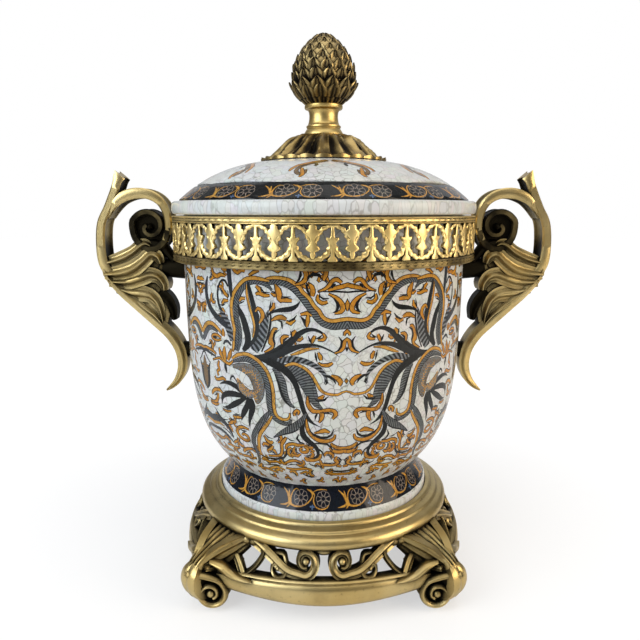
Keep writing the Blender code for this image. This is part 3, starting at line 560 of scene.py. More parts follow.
# %% The jar's feathers and leaves
for colour, hatch, points in (
        ("dark", 1.0, [(27, 212, 1), (27.8, 207, 3.6), (28.8, 201.5, 6), (30.2, 196, 8),
                       (31.6, 190, 8), (33, 185, 5.5)]),
        ("black", 0.0, [(26.4, 212, 0.6), (26.2, 206, 1.6), (26.9, 199, 1.6), (28.2, 192, 1.4),
                        (30, 185, 1)]),
        ("black", 0.0, [(15.8, 218.6, 0.2), (16.9, 215.6, 2), (19, 213.4, 3.3), (22, 212.6, 3),
                        (25, 211.4, 1.8), (27.2, 209, 1.2), (28, 206, 0.4)]),
        ("dark", 0.5, [(34.6, 229, 1), (34.2, 225, 2.6), (33.4, 219, 3.4), (32.4, 212, 3.6),
                       (31.6, 205, 3.4), (31.6, 198, 3), (33, 192, 2.6), (35.4, 187, 2),
                       (37.2, 184, 1)]),
        ("gold", 0.0, [(35.3, 227.4, 0.4), (35.3, 222, 1.3), (34.8, 217, 1.4), (34.1, 212, 1.5),
                       (33.2, 207, 1.4), (32.6, 202, 1.3), (32.7, 198, 1.2), (33.4, 193.6, 0.4)]),
        ("black", 0.0, [(39.4, 214.4, 0.4), (38.3, 210, 3.4), (37, 205, 4.6), (36, 199, 5),
                        (35.3, 193, 4.8), (36, 188, 4.2), (37.8, 184.6, 2)]),
        ("grey", 0.5, [(39.3, 206.6, 0.4), (38.9, 201, 2.2), (38.6, 195, 2.6), (39, 189, 2.2),
                       (40, 184, 1.2)]),
        ("black", 0.0, [(33, 182.2, 1), (30, 180.6, 3.6), (27, 179.6, 6), (24.5, 178.6, 6),
                        (21.5, 176.2, 3)]),
        ("dark", 1.0, [(42.6, 189.6, 3), (43.4, 195, 5.4), (44.6, 200.4, 6.4), (46.2, 205.4, 5),
                       (48, 209.8, 2), (49, 212, 0.5)]),
        ("slate", 0.5, [(44.6, 198.4, 2), (47, 201.4, 4), (50, 204.2, 3.6), (53, 208.4, 3.4),
                        (55, 213.4, 3.2), (55.8, 219, 2.9), (55.6, 225, 2.4), (54.6, 230.4, 0.5)]),
        ("dark", 0.5, [(47, 209, 1.2), (48.6, 213.2, 2.2), (49, 219, 1.8), (48.3, 225, 1.6),
                       (46.6, 228.6, 1.6), (44.8, 228.6, 1.8), (43.6, 225, 1.2)]),
        ("slate", 0.5, [(42.2, 218.6, 0.8), (42.3, 224, 2.6), (42.7, 230, 3), (43, 238, 3.2)]),
        ("dark", 0.5, [(33, 181.8, 1), (29.6, 181.8, 3.6), (26, 184.2, 4.8), (23, 187.4, 5.4),
                       (20, 191.4, 5.2), (18, 195, 4.4), (16, 198.2, 3.4), (13.5, 200.2, 2.2),
                       (11, 200.4, 1.4), (9, 199, 1.2), (7.6, 197, 0.4)]),
        ("black", 0.0, [(29, 183.2, 0.5), (25, 186, 1.4), (22, 190, 1.6), (19.2, 195, 1.5),
                        (16.5, 199, 1.3), (13.5, 201.4, 1.2), (10.4, 200.9, 1.1), (8.2, 198.6, 0.9),
                        (7.4, 196, 0.3)]),
        ("dark", 0.5, [(27, 180.6, 3), (23, 184.6, 4.2), (19, 188, 3.8), (16, 190, 3.2),
                       (12, 191, 2.2), (9, 190.2, 1.4), (6, 187.8, 1), (4, 185.6, 0.7),
                       (2.6, 183.4, 0.2)]),
        ("gold", 0.0, [(19.4, 184.2, 0.4), (17, 185.6, 1.7), (14, 187.9, 1.9), (12, 188.7, 1.3),
                       (9.4, 188.9, 0.3)]),
        ("dark", 1.0, [(24.6, 179.2, 3), (20, 181.4, 4.4), (16, 181.2, 4), (13, 179.6, 3.6),
                       (10, 176.6, 3.2), (8, 173, 2.6), (7.2, 169.4, 1.8), (7.8, 165.6, 0.3)]),
        ("grey", 0.5, [(25, 177.6, 1), (20, 175.6, 4.4), (17, 173, 7.4), (14.6, 168.5, 8.4),
                       (13, 163, 8.2), (11.7, 157, 6.2), (10.4, 152, 3.6), (8.2, 149, 0.3)]),
        ("gold", 0.0, [(22.4, 176, 0.4), (20, 178, 1.6), (18, 178.7, 1.7), (16, 177.4, 1.6),
                       (14, 175.4, 1.6), (12.2, 172, 1.6), (11, 168.4, 1.6), (10, 165, 1.6),
                       (9, 162, 1.6), (7.6, 160, 1.5), (6, 159, 1.3), (3, 158.6, 1.3),
                       (1.5, 160, 1), (-0.5, 161, 0.8)]),
        ("black", 0.0, [(28, 179.4, 5), (23.4, 176.2, 5.4), (20, 171.6, 4.8), (18, 166, 3.8),
                        (16.9, 160, 3.5), (16, 154, 3.4), (15, 147, 3.2), (13.5, 142, 2.8),
                        (11.6, 138.6, 1.4), (8.8, 136.2, 0.2)]),
        ("grey", 0.5, [(26, 175, 1), (23.7, 170.6, 4), (22.5, 165, 4.6), (22, 159, 4.2),
                       (21, 154, 3.2), (19.8, 151, 1.9), (18.2, 149.2, 0.2)]),
        ("black", 0.0, [(25.4, 172, 0.6), (24, 165, 1.6), (22.8, 157, 2), (21, 151.6, 1.1),
                        (19, 149.4, 0.2)]),
        ("black", 0.0, [(14.6, 143, 1), (15.6, 137, 2.8), (15.9, 133, 3.8), (15.3, 129, 4.3),
                        (13.5, 125.5, 3.8), (11.5, 122.4, 3.2), (10.3, 119, 2.8), (10.1, 115, 2.2),
                        (11.6, 112, 2.4), (14.6, 110.6, 0.8)]),
        ("black", 0.0, [(10.6, 120.6, 1), (8.5, 117.6, 1.4), (7.6, 112.6, 0.4)]),
        ("grey", 0.5, [(14.2, 145.6, 1), (16.2, 139.6, 4.2), (19, 135.5, 4.8), (22, 132.5, 3.8),
                       (25, 129.3, 2.1), (27.4, 126.4, 0.2)]),
        ("black", 0.0, [(16.8, 134.4, 0.4), (19.6, 131.6, 1), (23, 129.6, 1), (27.2, 126.4, 0.3)]),
        ("black", 0.0, [(38, 153.5, 3), (41, 158, 3.8), (44, 160, 3.6), (47, 160.3, 2.6),
                        (49.5, 159, 1.4), (51, 157.6, 0.2)]),
        ("black", 0.0, [(38.4, 153, 2.6), (42.5, 153.3, 4.2), (46, 152.6, 4.3), (49, 150.6, 3.8),
                        (50.4, 147.3, 2.4), (50.9, 143, 0.3)]),
        ("black", 0.0, [(37.5, 152.6, 2), (41, 148.6, 3.8), (44, 145.6, 4.2), (47, 142.6, 3),
                        (50.6, 141.2, 0.3)]),
        ("black", 0.0, [(36.5, 152.4, 3), (37.5, 146.6, 4.2), (39.4, 141.6, 4.2), (40.8, 137.2, 2.4),
                        (41.2, 134.6, 0.3)]),
        ("black", 0.0, [(35.6, 152.4, 3), (35, 147.5, 4.8), (36, 142, 4.2), (37.2, 136, 2.4),
                        (37.6, 129.6, 0.2)]),
        ("slate", 0.5, [(48, 119, 0.4), (49.4, 125.4, 2.4), (52, 129.5, 3.6), (55, 131, 4.6),
                        (58, 130, 5), (61, 128.5, 5)]),
        ("gold", 0.0, [(52.6, 125.6, 0.3), (55, 127, 1.6), (58, 126.4, 2.1), (61, 125.4, 2.2)]),
        ("dark", 1.0, [(48, 118, 0.3), (50, 121.8, 1.5), (52.4, 124, 1.2), (54.4, 124.3, 0.3)]),
        ("slate", 0.5, [(49, 114.6, 0.4), (51.5, 118.8, 1.6), (54.4, 121, 2), (58, 122, 2),
                        (61, 121.6, 1.8)]),
        ("black", 0.0, [(53.2, 131.6, 2), (55, 135, 2), (56.7, 138.8, 0.2)]),
        ("black", 0.0, [(55.6, 172, 0.3), (56.9, 168, 2.2), (57.5, 163.6, 3), (57.7, 158.6, 3),
                        (58.6, 154.2, 2.6), (61, 150.4, 1.6)]),
        ("black", 0.0, [(55.8, 171, 1), (57.6, 173.6, 1), (59, 177, 1.4), (61, 179, 1.4)]),
        ("tan", 0.0, [(60, 175, 0.6), (60, 170, 4.4), (60, 163, 6), (60, 157, 4.6),
                      (60, 152.6, 0.6)]),
        ("black", 0.0, [(46.2, 176, 1), (46.7, 172, 2.6), (46.4, 169.4, 2.4), (46.2, 166.8, 0.4)]),
        ("black", 0.0, [(41.6, 162.4, 0.6), (43, 165.8, 1.7), (44.4, 164, 1.2), (44.8, 161.6, 0.3)]),
        ("slate", 0.0, [(43, 186.4, 0.6), (44.5, 188.8, 1.2), (46, 188.6, 1.2), (47, 186.4, 0.6)]),
        ("slate", 0.0, [(51.8, 176.8, 0.5), (55, 178, 1), (58, 179.2, 1.2), (61, 178.8, 1.2)])):
    if colour == "gold":
        wall.outlined(colour, points, margin=0.4)
    elif colour in ("black", "dark"):
        wall.stroke(colour, points, 0.0, hatch)
    else:
        wall.outlined(colour, points, "black", 0.4, hatch)
print("with feathers and leaves:", len(wall.quads), "quads")

# %% [markdown]
# The scaly cone
#
# Between the hooked plume and the leaf fan lies a crescent covered with small
# overlapping scales. Each scale is one short arc on a staggered lattice, and only the
# arcs inside the crescent are drawn.

# %% Scales on the crescent
crescent = [(43, 172.6, 1), (40, 173.2, 4), (37, 172.6, 6.6), (34, 170.4, 9), (32.2, 165, 9.2),
            (31.8, 159, 7.6), (32.4, 154, 6.4), (33, 149.6, 1.6)]
lobe = [(33.4, 156.6, 3), (36, 155.4, 5.4), (38.6, 157.6, 6), (40.2, 161, 4.4), (41, 164.4, 1)]
for body in (crescent, lobe):
    wall.stroke("umber", body, 0.5)
    wall.stroke("grey", body)
for body in (crescent, lobe):
    run = smooth_run(body, 4)
    for i, (u, z, width) in enumerate(run[1:-1]):
        ahead = Vector(run[i + 2][:2]) - Vector(run[i][:2])
        ahead.x *= wall.per_degree
        ahead.normalize()
        side = Vector((-ahead.y, ahead.x))
        count = max(int(width / 2.5), 1)
        for k in range(count):
            shift = (k + 0.5 - count / 2 + 0.25 * (i % 2)) * width / count
            centre = Vector((u * wall.per_degree, z)) + side * shift
            arc = []
            for angle in (-75, 0, 75):
                turned = ahead * math.cos(math.radians(angle)) + side * math.sin(math.radians(angle))
                spot = centre + turned * 1.15
                arc.append((spot.x / wall.per_degree, spot.y, 0.62))
            wall.stroke("gold" if body is lobe or k % 2 else "tan", arc, per_span=1)
print("strokes so far:", len(wall.quads), "quads")

# %% [markdown]
# Gold curls and their shadows
#
# The small curls are what makes the ground look rich. Each is one short gold stroke
# with an umber outline, and the black strokes beside them read as their shadows.

# %% The jar's small curls
for points in (
        [(47, 197, 0.6), (46.8, 194.6, 2.4), (46.9, 191.8, 2)],
        [(42.6, 176.4, 0.6), (44.6, 173.6, 1.7), (47.4, 175.2, 1.7), (50, 176.4, 1), (54, 173.8, 0.4)],
        [(45.2, 176, 1.4), (43.9, 180.4, 2.6), (43, 184.4, 0.3)],
        [(47.6, 176, 1.4), (48.9, 180, 2.6), (49.7, 183.6, 0.3)],
        [(46.5, 175.6, 1.6), (46.9, 180.6, 3.4), (46.5, 185.2, 0.3)],
        [(48, 190.3, 0.8), (50, 191.9, 1.4), (52.4, 191.6, 1.3), (53.6, 190, 1.1),
         (52.4, 188.5, 1.1), (50, 188.3, 1.1), (48, 189.4, 0.6)],
        [(51.4, 178.4, 0.8), (53.5, 180.3, 1.4), (56, 181, 1.5), (58.5, 181.4, 1.5), (61, 180.4, 1.2)],
        [(50, 174.4, 0.8), (50.8, 171, 1.8), (50.2, 168.4, 1.6), (51.6, 166.6, 1.6), (51, 163.6, 1)],
        [(47, 161.6, 0.8), (48.6, 162.6, 2), (50.4, 161.4, 1.6), (52.6, 160.6, 1.6),
         (53.6, 162.6, 0.8)],
        [(49.6, 151.6, 0.6), (51.6, 153.4, 1.8), (54, 152.8, 2), (56, 150.6, 1.8), (57, 148, 0.6)],
        [(52.6, 150.6, 0.8), (53, 147.4, 2), (54.4, 144.2, 2), (56.8, 142.6, 1.8), (59, 143, 0.6)],
        [(53, 143, 0.6), (54.8, 141.4, 1.6), (57.6, 141.2, 1.2), (59, 142, 0.5)],
        [(38.2, 129, 0.6), (41, 130, 1.7), (43.6, 128.4, 2), (44.9, 125, 2.1), (43.6, 121.4, 2),
         (41.2, 119.6, 1.9), (39.2, 121, 1.7), (39.6, 123.8, 1.5), (41.6, 124.8, 1.3),
         (42.4, 123, 0.5)],
        [(45.6, 132.8, 0.8), (47, 131.2, 2.2), (49, 129.4, 1)],
        [(41, 137, 0.6), (42.6, 136.8, 1.7), (44.6, 136.2, 1.3), (45.6, 136.8, 0.4)],
        [(46, 140, 0.6), (48.5, 138.9, 1.5), (51, 139.5, 0.6)],
        [(2, 229.6, 1.2), (3.5, 231.8, 2.2), (5, 231, 2), (6, 228.5, 1.8), (7.5, 226, 1.4),
         (10, 224.2, 0.4)],
        [(-1, 229, 2), (1.4, 227.6, 2.2), (4, 226.6, 1.9), (6.6, 225, 1)],
        [(6.4, 223, 0.6), (4, 220.9, 1.6), (2.3, 218, 2.3), (1.5, 214.5, 2.7), (2.2, 211.9, 2),
         (4.4, 210.9, 0.5)],
        [(-0.6, 220.4, 0.8), (0.2, 216.5, 1.8), (-0.2, 212.3, 1)],
        [(9.7, 222.6, 0.6), (10, 219.6, 1.8), (8.5, 217.3, 2), (6.6, 218.2, 1.2)],
        [(13.4, 229.8, 0.5), (11.9, 227.4, 2.2), (11.6, 224, 2.7), (11.8, 221.4, 1.4)],
        [(6.9, 238, 2), (7.3, 234.5, 2.3), (8, 231.2, 1)],
        [(8.6, 238, 1.4), (10.6, 237, 2.2), (13, 238.4, 1.4)],
        [(14.8, 238.6, 2), (13.8, 235.5, 2.2), (13.9, 232, 2.4), (15.3, 229.6, 1.8),
         (17.6, 228.6, 0.4)],
        [(24.5, 228.4, 0.4), (23.6, 225.4, 2.9), (23, 222, 3.3), (23.1, 219.4, 2.2), (22, 217.3, 0.8)],
        [(18.6, 218.5, 1.4), (20.5, 218.8, 2.3), (22.4, 218.6, 1.6)],
        [(26.4, 221.3, 0.8), (28.4, 221.2, 1.8), (30.4, 222.4, 2), (31.8, 221.4, 0.8)],
        [(29.8, 223, 0.8), (30.4, 225.2, 2), (31.6, 227, 1.2)],
        [(25, 217, 0.6), (25.1, 214, 2), (26.6, 211.4, 0.6)],
        [(32, 210.4, 0.6), (31, 212.7, 1.8), (29.6, 211, 2.2), (29.2, 207.6, 2.3), (30.6, 203.2, 0.8)],
        [(11.9, 209.4, 0.8), (13.6, 211.1, 2), (15.8, 210, 1)],
        [(13.2, 210, 1.2), (13.3, 206.4, 2.2), (13.7, 202.4, 1)],
        [(17.5, 206.8, 0.6), (19.2, 204.2, 2), (20.8, 205.4, 1.2)],
        [(20.6, 206.6, 1.2), (22.3, 208, 2.5), (24.3, 207.3, 2), (26, 205.6, 0.4)],
        [(17.3, 200, 1), (18.3, 198.2, 2), (18.6, 196.2, 0.6)],
        [(19.8, 196, 0.6), (21.3, 196, 1.8), (22.3, 194, 2), (22.3, 191, 0.6)],
        [(23.8, 200.2, 0.8), (24.9, 200.4, 1.6), (25.7, 198, 1.8), (26.3, 194.5, 2),
         (26.4, 191.8, 3.2), (25.6, 189.4, 1.8), (26.8, 187, 1.2), (29, 184.8, 0.4)],
        [(8.2, 198.4, 0.6), (7.4, 196, 1.6), (8.3, 194.4, 1.6), (10, 194.2, 0.6)],
        [(10.9, 197, 1), (11.5, 194.6, 1.8), (11.9, 192.2, 0.5)],
        [(-0.6, 200.6, 1.6), (0.8, 198.6, 1.4), (1, 196.8, 0.6)],
        [(-1, 195.4, 1.2), (0.7, 193.6, 1.8), (1.1, 190, 1.8), (2, 187.5, 1.6), (4.2, 185.8, 0.5)],
        [(9.8, 186.4, 0.6), (9.1, 183.6, 2.3), (8.8, 181.2, 1)],
        [(4.8, 179.8, 0.8), (6.3, 178.2, 2), (8.6, 178.3, 1.2), (9.8, 180, 0.4)],
        [(5.4, 171.4, 0.6), (3.4, 169.8, 2.4), (2, 167, 2.7), (2.5, 164.6, 1)],
        [(-0.8, 170, 0.8), (0, 167.6, 2), (-0.6, 165.4, 0.8)],
        [(7.8, 158.4, 0.6), (8.6, 156.7, 2.2), (10, 156.4, 0.8)],
        [(13.6, 157.6, 0.4), (13.6, 153, 2), (12.7, 149.5, 2.4), (11.4, 147.3, 2.4), (9.6, 147.3, 2),
         (8.5, 145.5, 2.8), (8.8, 142, 2), (9.7, 139.4, 0.4)],
        [(9.4, 147.4, 1.4), (7.6, 147.9, 1.8), (5.8, 148.2, 2), (4.1, 147.3, 2.2), (3.6, 145, 2.4),
         (4.8, 142, 1)],
        [(14.2, 142, 0.4), (14, 136, 1.8), (13, 131.5, 2), (10.8, 127.5, 2.2), (8, 125.9, 2.4),
         (5.5, 126.3, 2), (4, 128, 1.6), (3.6, 131, 0.5)],
        [(5.6, 132.2, 0.6), (7.5, 133.8, 2.5), (9.4, 132.8, 1.8), (11.4, 131.8, 0.4)],
        [(17.4, 144.4, 0.6), (16.8, 146.6, 1.4), (17.6, 147.6, 1.3), (18.6, 145.6, 1.6),
         (18.3, 143.6, 1)],
        [(5.2, 124.4, 0.8), (4, 122, 2), (2, 120.5, 2), (-1, 120, 1.8)],
        [(5.2, 119.6, 1), (3.2, 117.6, 2.2), (1, 117.4, 2.2), (-1, 118.4, 2)],
        [(2.4, 113.8, 0.8), (3.1, 110.8, 2.4), (2, 108.4, 1.8), (3.4, 106.6, 1.6), (6, 106.4, 1.8),
         (8.6, 107.2, 1.8), (9, 109.6, 0.8)],
        [(-1, 97.8, 1.8), (2.4, 97.6, 1.7), (5, 99, 1.3), (6.8, 102, 0.4)],
        [(9, 116, 0.8), (9.5, 112.8, 2), (11.5, 110.6, 1.8), (14.6, 111, 2.8), (15.4, 113, 0.8)],
        [(15.6, 121.4, 1), (14.2, 120, 1.8), (14.5, 117.4, 2), (16.4, 117, 1.8), (17.1, 119.4, 1.4),
         (15.9, 120, 0.6)],
        [(15.2, 122.6, 1), (18, 122.2, 2), (20, 123, 1.8), (22.3, 121.4, 1.8), (22.9, 118, 0.8)],
        [(22.2, 127.4, 0.6), (23.4, 124.8, 2.2), (24.5, 121.5, 1.8), (24.6, 117.5, 1.8),
         (25.5, 113.2, 1.6), (28, 111.5, 1.4), (31.4, 110.9, 0.8)],
        [(17, 115.4, 0.6), (18.4, 113.6, 2), (20.6, 114.2, 1.4)],
        [(28, 123.4, 0.8), (29, 122, 2.4), (30.5, 123.4, 1.8), (31.6, 126.9, 0.5)],
        [(28.2, 119.8, 0.8), (29.5, 116.8, 2), (31.4, 115.2, 0.6)],
        [(17, 107.6, 0.8), (19.2, 109.4, 1.5), (22, 108.6, 1.8), (24.8, 105.6, 0.8)],
        [(13.2, 102.2, 0.8), (16, 102.8, 1.6), (18.4, 101.8, 1.6), (21.4, 101.2, 1.5),
         (24.6, 101.8, 0.8)],
        [(14, 98.4, 0.6), (15.6, 99.8, 1.6), (18.6, 97.4, 0.8)],
        [(26, 105.4, 0.6), (28.6, 106.6, 1.5), (31.6, 105.4, 1.6), (34.4, 106.6, 0.8)],
        [(25.4, 99.4, 0.6), (28.4, 101.4, 1.6), (31.2, 100, 1.7), (33.8, 98, 0.8)],
        [(29.4, 95.4, 0.6), (32.2, 96.6, 1.5), (35.4, 98.2, 1.5), (38.6, 96.6, 0.7)],
        [(38.4, 113.8, 0.6), (41, 113, 1.8), (43.6, 111, 1.9), (44.6, 108.6, 0.8)],
        [(45.6, 117.6, 0.8), (47.4, 116.2, 1.9), (49, 114.4, 0.8)],
        [(40, 104.4, 0.6), (43, 105.8, 1.6), (46, 105, 1.8), (49, 106, 0.8)],
        [(46.4, 111.4, 0.6), (49.4, 110.2, 1.7), (52.6, 111.4, 1.7), (55, 110, 0.7)],
        [(40.6, 98.6, 0.6), (43.6, 99.8, 1.6), (47, 98.6, 1.6), (49.6, 99.6, 0.6)],
        [(52, 104.6, 0.6), (55, 105.8, 1.7), (58, 104.4, 1.7), (61, 105.4, 1)],
        [(54.4, 115.6, 0.6), (57, 114.4, 1.8), (60.8, 115.4, 1.6)],
        [(53, 98.4, 0.6), (56, 99.6, 1.5), (60.8, 98, 1.2)],
        [(35.8, 235.6, 1), (37.6, 236.4, 2.4), (39, 234.4, 2), (40.6, 236.4, 2), (41.4, 238.4, 1)],
        [(44.6, 231.6, 0.8), (47, 232.4, 2.2), (49, 231, 2.4), (51, 232.6, 2.2), (51.6, 235.4, 1.4),
         (52.6, 238.4, 1.2)],
        [(43.4, 218, 0.8), (45, 220.4, 2.2), (46, 222.6, 1)],
        [(43.6, 216, 0.8), (45.6, 215.8, 2), (47, 213.4, 1)],
        [(36, 218.4, 1), (37.6, 218.4, 1.8), (38.6, 216.4, 1)],
        [(57.2, 227.4, 0.8), (58.6, 228.4, 2.2), (61, 227.6, 2)],
        [(56, 210.4, 0.6), (57.6, 211.4, 2), (58.8, 209, 2.2), (58.8, 205.4, 1)],
        [(58.6, 221.6, 0.8), (60, 219.6, 2.4), (60.6, 216.4, 1.6)],
        [(55.6, 236, 0.8), (57.4, 235.4, 2), (60.6, 237, 1.8)],
        [(21.6, 238.6, 2), (23.4, 236.6, 2.2), (25.6, 238.4, 2)],
        [(30.2, 236.4, 0.6), (32.4, 235.2, 1.8), (34.4, 233, 0.8)]):
    wall.outlined("ochre", points, margin=0.62, per_span=1 if len(points) < 4 else 2)
for points in (
        [(4, 229.2, 1), (5, 227.8, 1.9), (5.3, 226.4, 0.8)],
        [(-0.5, 223.8, 1.1), (3, 224.4, 1.2), (6, 224.3, 1), (10, 224.5, 0.3)],
        [(4.8, 220.4, 0.4), (3.4, 217.5, 2), (3.2, 214.5, 2.1), (3.8, 212.2, 1.4), (5, 211.2, 0.3)],
        [(6.2, 220.2, 0.6), (8, 219.9, 1.4), (9.2, 221.3, 1.1), (9.4, 223.6, 0.4)],
        [(12.4, 229.6, 0.4), (13.7, 228.2, 1.5), (13.3, 225, 1.7), (12.5, 221.4, 0.6)],
        [(8.5, 231.6, 0.5), (9.4, 234.4, 2), (11.5, 235, 2.5), (13, 233.2, 1.7), (13.4, 230.6, 0.4)],
        [(15.6, 238.4, 1), (15.6, 234.5, 1.9), (16.2, 231.5, 1.4), (17.6, 228.8, 0.3)],
        [(19, 220.9, 0.5), (21.5, 220.6, 1.1), (22.2, 221.6, 0.4)],
        [(26.3, 223.2, 0.4), (28.5, 223, 1.2), (29.4, 224.8, 1), (29.6, 226.6, 0.4)],
        [(26, 217.9, 0.4), (26.3, 214.5, 1.4), (26.8, 211.8, 0.5)],
        [(31.2, 210.8, 0.5), (30.9, 208, 1.9), (30.9, 204.2, 0.5)],
        [(15.9, 209.2, 0.4), (14.7, 206.8, 2), (14.2, 203.4, 1), (13.6, 201.4, 0.5)],
        [(17, 209.8, 0.4), (18, 207.2, 1.6), (19.7, 205.6, 1.1), (20.6, 206.4, 0.4)],
        [(23.9, 206, 0.5), (22.4, 205.2, 1.5), (22.2, 202.8, 1.4), (22.1, 200.6, 0.3)],
        [(19.2, 199.8, 0.4), (19, 197.4, 1.3), (18.8, 195.6, 0.4)],
        [(20.3, 195.1, 0.4), (21.6, 193.6, 1.7), (21.9, 191, 0.4)],
        [(23.3, 199.8, 0.4), (24.9, 197.8, 1.6), (25.4, 194.5, 1.5), (24.9, 191, 1.2),
         (25.4, 187.4, 0.4)],
        [(8.4, 197.6, 0.4), (9.4, 195.7, 1.4), (10.6, 195, 0.6)],
        [(13.2, 196.8, 0.4), (12.6, 194, 1.6), (12, 191.6, 0.5)],
        [(2.9, 196.4, 0.5), (1.8, 193.6, 1.6), (2, 190, 1.6), (3, 187.5, 1.1), (4.6, 186, 0.4)],
        [(-0.5, 191, 0.8), (0.1, 188.4, 1.8), (-0.3, 185.8, 0.5)],
        [(10.9, 186.8, 0.4), (10.6, 183.5, 1.6), (10.2, 180.4, 0.5)],
        [(7.8, 171.4, 1), (6, 170.8, 1.9), (4.4, 168.6, 1.7), (3.7, 165.8, 0.4)],
        [(7, 168.8, 1.2), (6.7, 166.8, 1.8), (7.4, 165.2, 0.6)],
        [(6.2, 157.8, 0.4), (7.6, 155.2, 1.6), (9.8, 154.4, 1.5), (11, 155.4, 0.6)],
        [(5, 145.2, 0.5), (6.3, 146.1, 1.1), (8, 145.9, 0.6)],
        [(10.2, 146, 1), (10.8, 143.8, 1.6), (11.1, 141, 0.3)],
        [(13.3, 134, 0.4), (11.6, 130.6, 1.7), (9, 128.5, 2.1), (6.5, 128.8, 1.8), (5, 130.6, 1.7),
         (4.1, 135, 0.3)],
        [(12, 124.2, 0.6), (9, 124.2, 1.4), (6.6, 123.6, 1.5), (5.2, 121.4, 1.5), (4.4, 118.4, 0.5)],
        [(0.2, 110.2, 0.6), (1.4, 111.7, 1.4), (2, 113.4, 0.4)],
        [(4, 108.6, 0.4), (6, 107.9, 1.1), (8, 108.6, 0.5)],
        [(-1, 100, 1.8), (3, 100.5, 1.8), (5.5, 102.3, 1.1), (7, 102, 0.3)],
        [(17.2, 130.8, 0.4), (18.1, 127.4, 1.8), (17, 124.5, 1.5), (15.2, 123.9, 0.4)],
        [(18.8, 125.2, 0.4), (20.6, 125.6, 1), (22.2, 127.6, 0.4)],
        [(22.7, 118.4, 0.5), (23.1, 114, 1.8), (24.4, 111, 1.8), (28, 108.8, 1.8), (32, 108.4, 1.6),
         (35.2, 110.2, 0.5)],
        [(28, 125.2, 0.4), (30, 126, 1), (31.4, 128.4, 0.3)],
        [(29.3, 120.4, 0.4), (30.2, 118.4, 1.4), (31.8, 117.6, 0.4)],
        [(11, 95, 0.3), (13.5, 94.4, 1.6), (15.5, 95.5, 1.8), (17.8, 97.6, 0.4)],
        [(10, 107.6, 0.4), (11.6, 105.4, 1.3), (13.4, 106.6, 1), (14, 108.4, 0.4)],
        [(19, 106.2, 0.4), (21.6, 105.8, 1.2), (23.6, 104.2, 0.4)],
        [(26, 102.4, 0.4), (28.4, 103.4, 1.3), (31.6, 102.6, 1.3), (35, 101, 0.4)],
        [(50.2, 190, 0.5), (51.5, 190.1, 1.7), (52.6, 189.9, 0.5)],
        [(53.8, 187.4, 0.5), (54.6, 185.2, 2), (56.4, 183.8, 0.4)],
        [(54, 179, 0.4), (54.8, 177.6, 1.5), (54.6, 176, 0.4)],
        [(52, 155.8, 0.4), (50.6, 154.2, 1), (49.2, 151.8, 0.4)],
        [(53, 151, 0.6), (53.9, 149.2, 1.4), (55.2, 148, 0.4)],
        [(39.4, 127.6, 0.4), (41, 126.8, 1.7), (42.6, 127.4, 0.5)],
        [(48.8, 132.4, 0.5), (51.6, 131.4, 1.2), (53.6, 131.6, 0.5)],
        [(41.3, 138.8, 0.4), (43.5, 138.6, 1.1), (45.3, 137.6, 0.4)],
        [(45.8, 141.6, 0.4), (48.4, 141, 1.2), (50.9, 142, 0.4)],
        [(56.4, 143.9, 0.4), (58, 144.2, 1), (60, 145.2, 0.4)],
        [(56.6, 207.6, 0.4), (57.6, 208.4, 1.4), (57.6, 205.6, 0.5)],
        [(57.6, 225.6, 0.4), (58.6, 224.6, 1.6), (60.6, 225.4, 1)],
        [(41.4, 110.2, 0.4), (42.4, 108.8, 1.6), (43.6, 107.6, 0.4)],
        [(36.4, 216.6, 0.4), (37.6, 215.6, 1.2), (38.8, 214.6, 0.4)],
        [(45, 213.8, 0.4), (46.4, 212.4, 1.4), (48, 212.6, 0.4)],
        [(43.8, 222.6, 0.4), (43.4, 219.6, 1.2), (43.9, 217, 0.4)]):
    wall.stroke("black", points, per_span=1)
print("the jar's pattern:", len(wall.quads), "quads")

# %% [markdown]
# Painted bands
#
# The jar's foot and the edge of the lid share one border: a dark ground with a gold
# sprig, a large scroll round a rosette, and a smaller scroll round another. It is
# written once, in shares of its own width and height, and both bands use it.

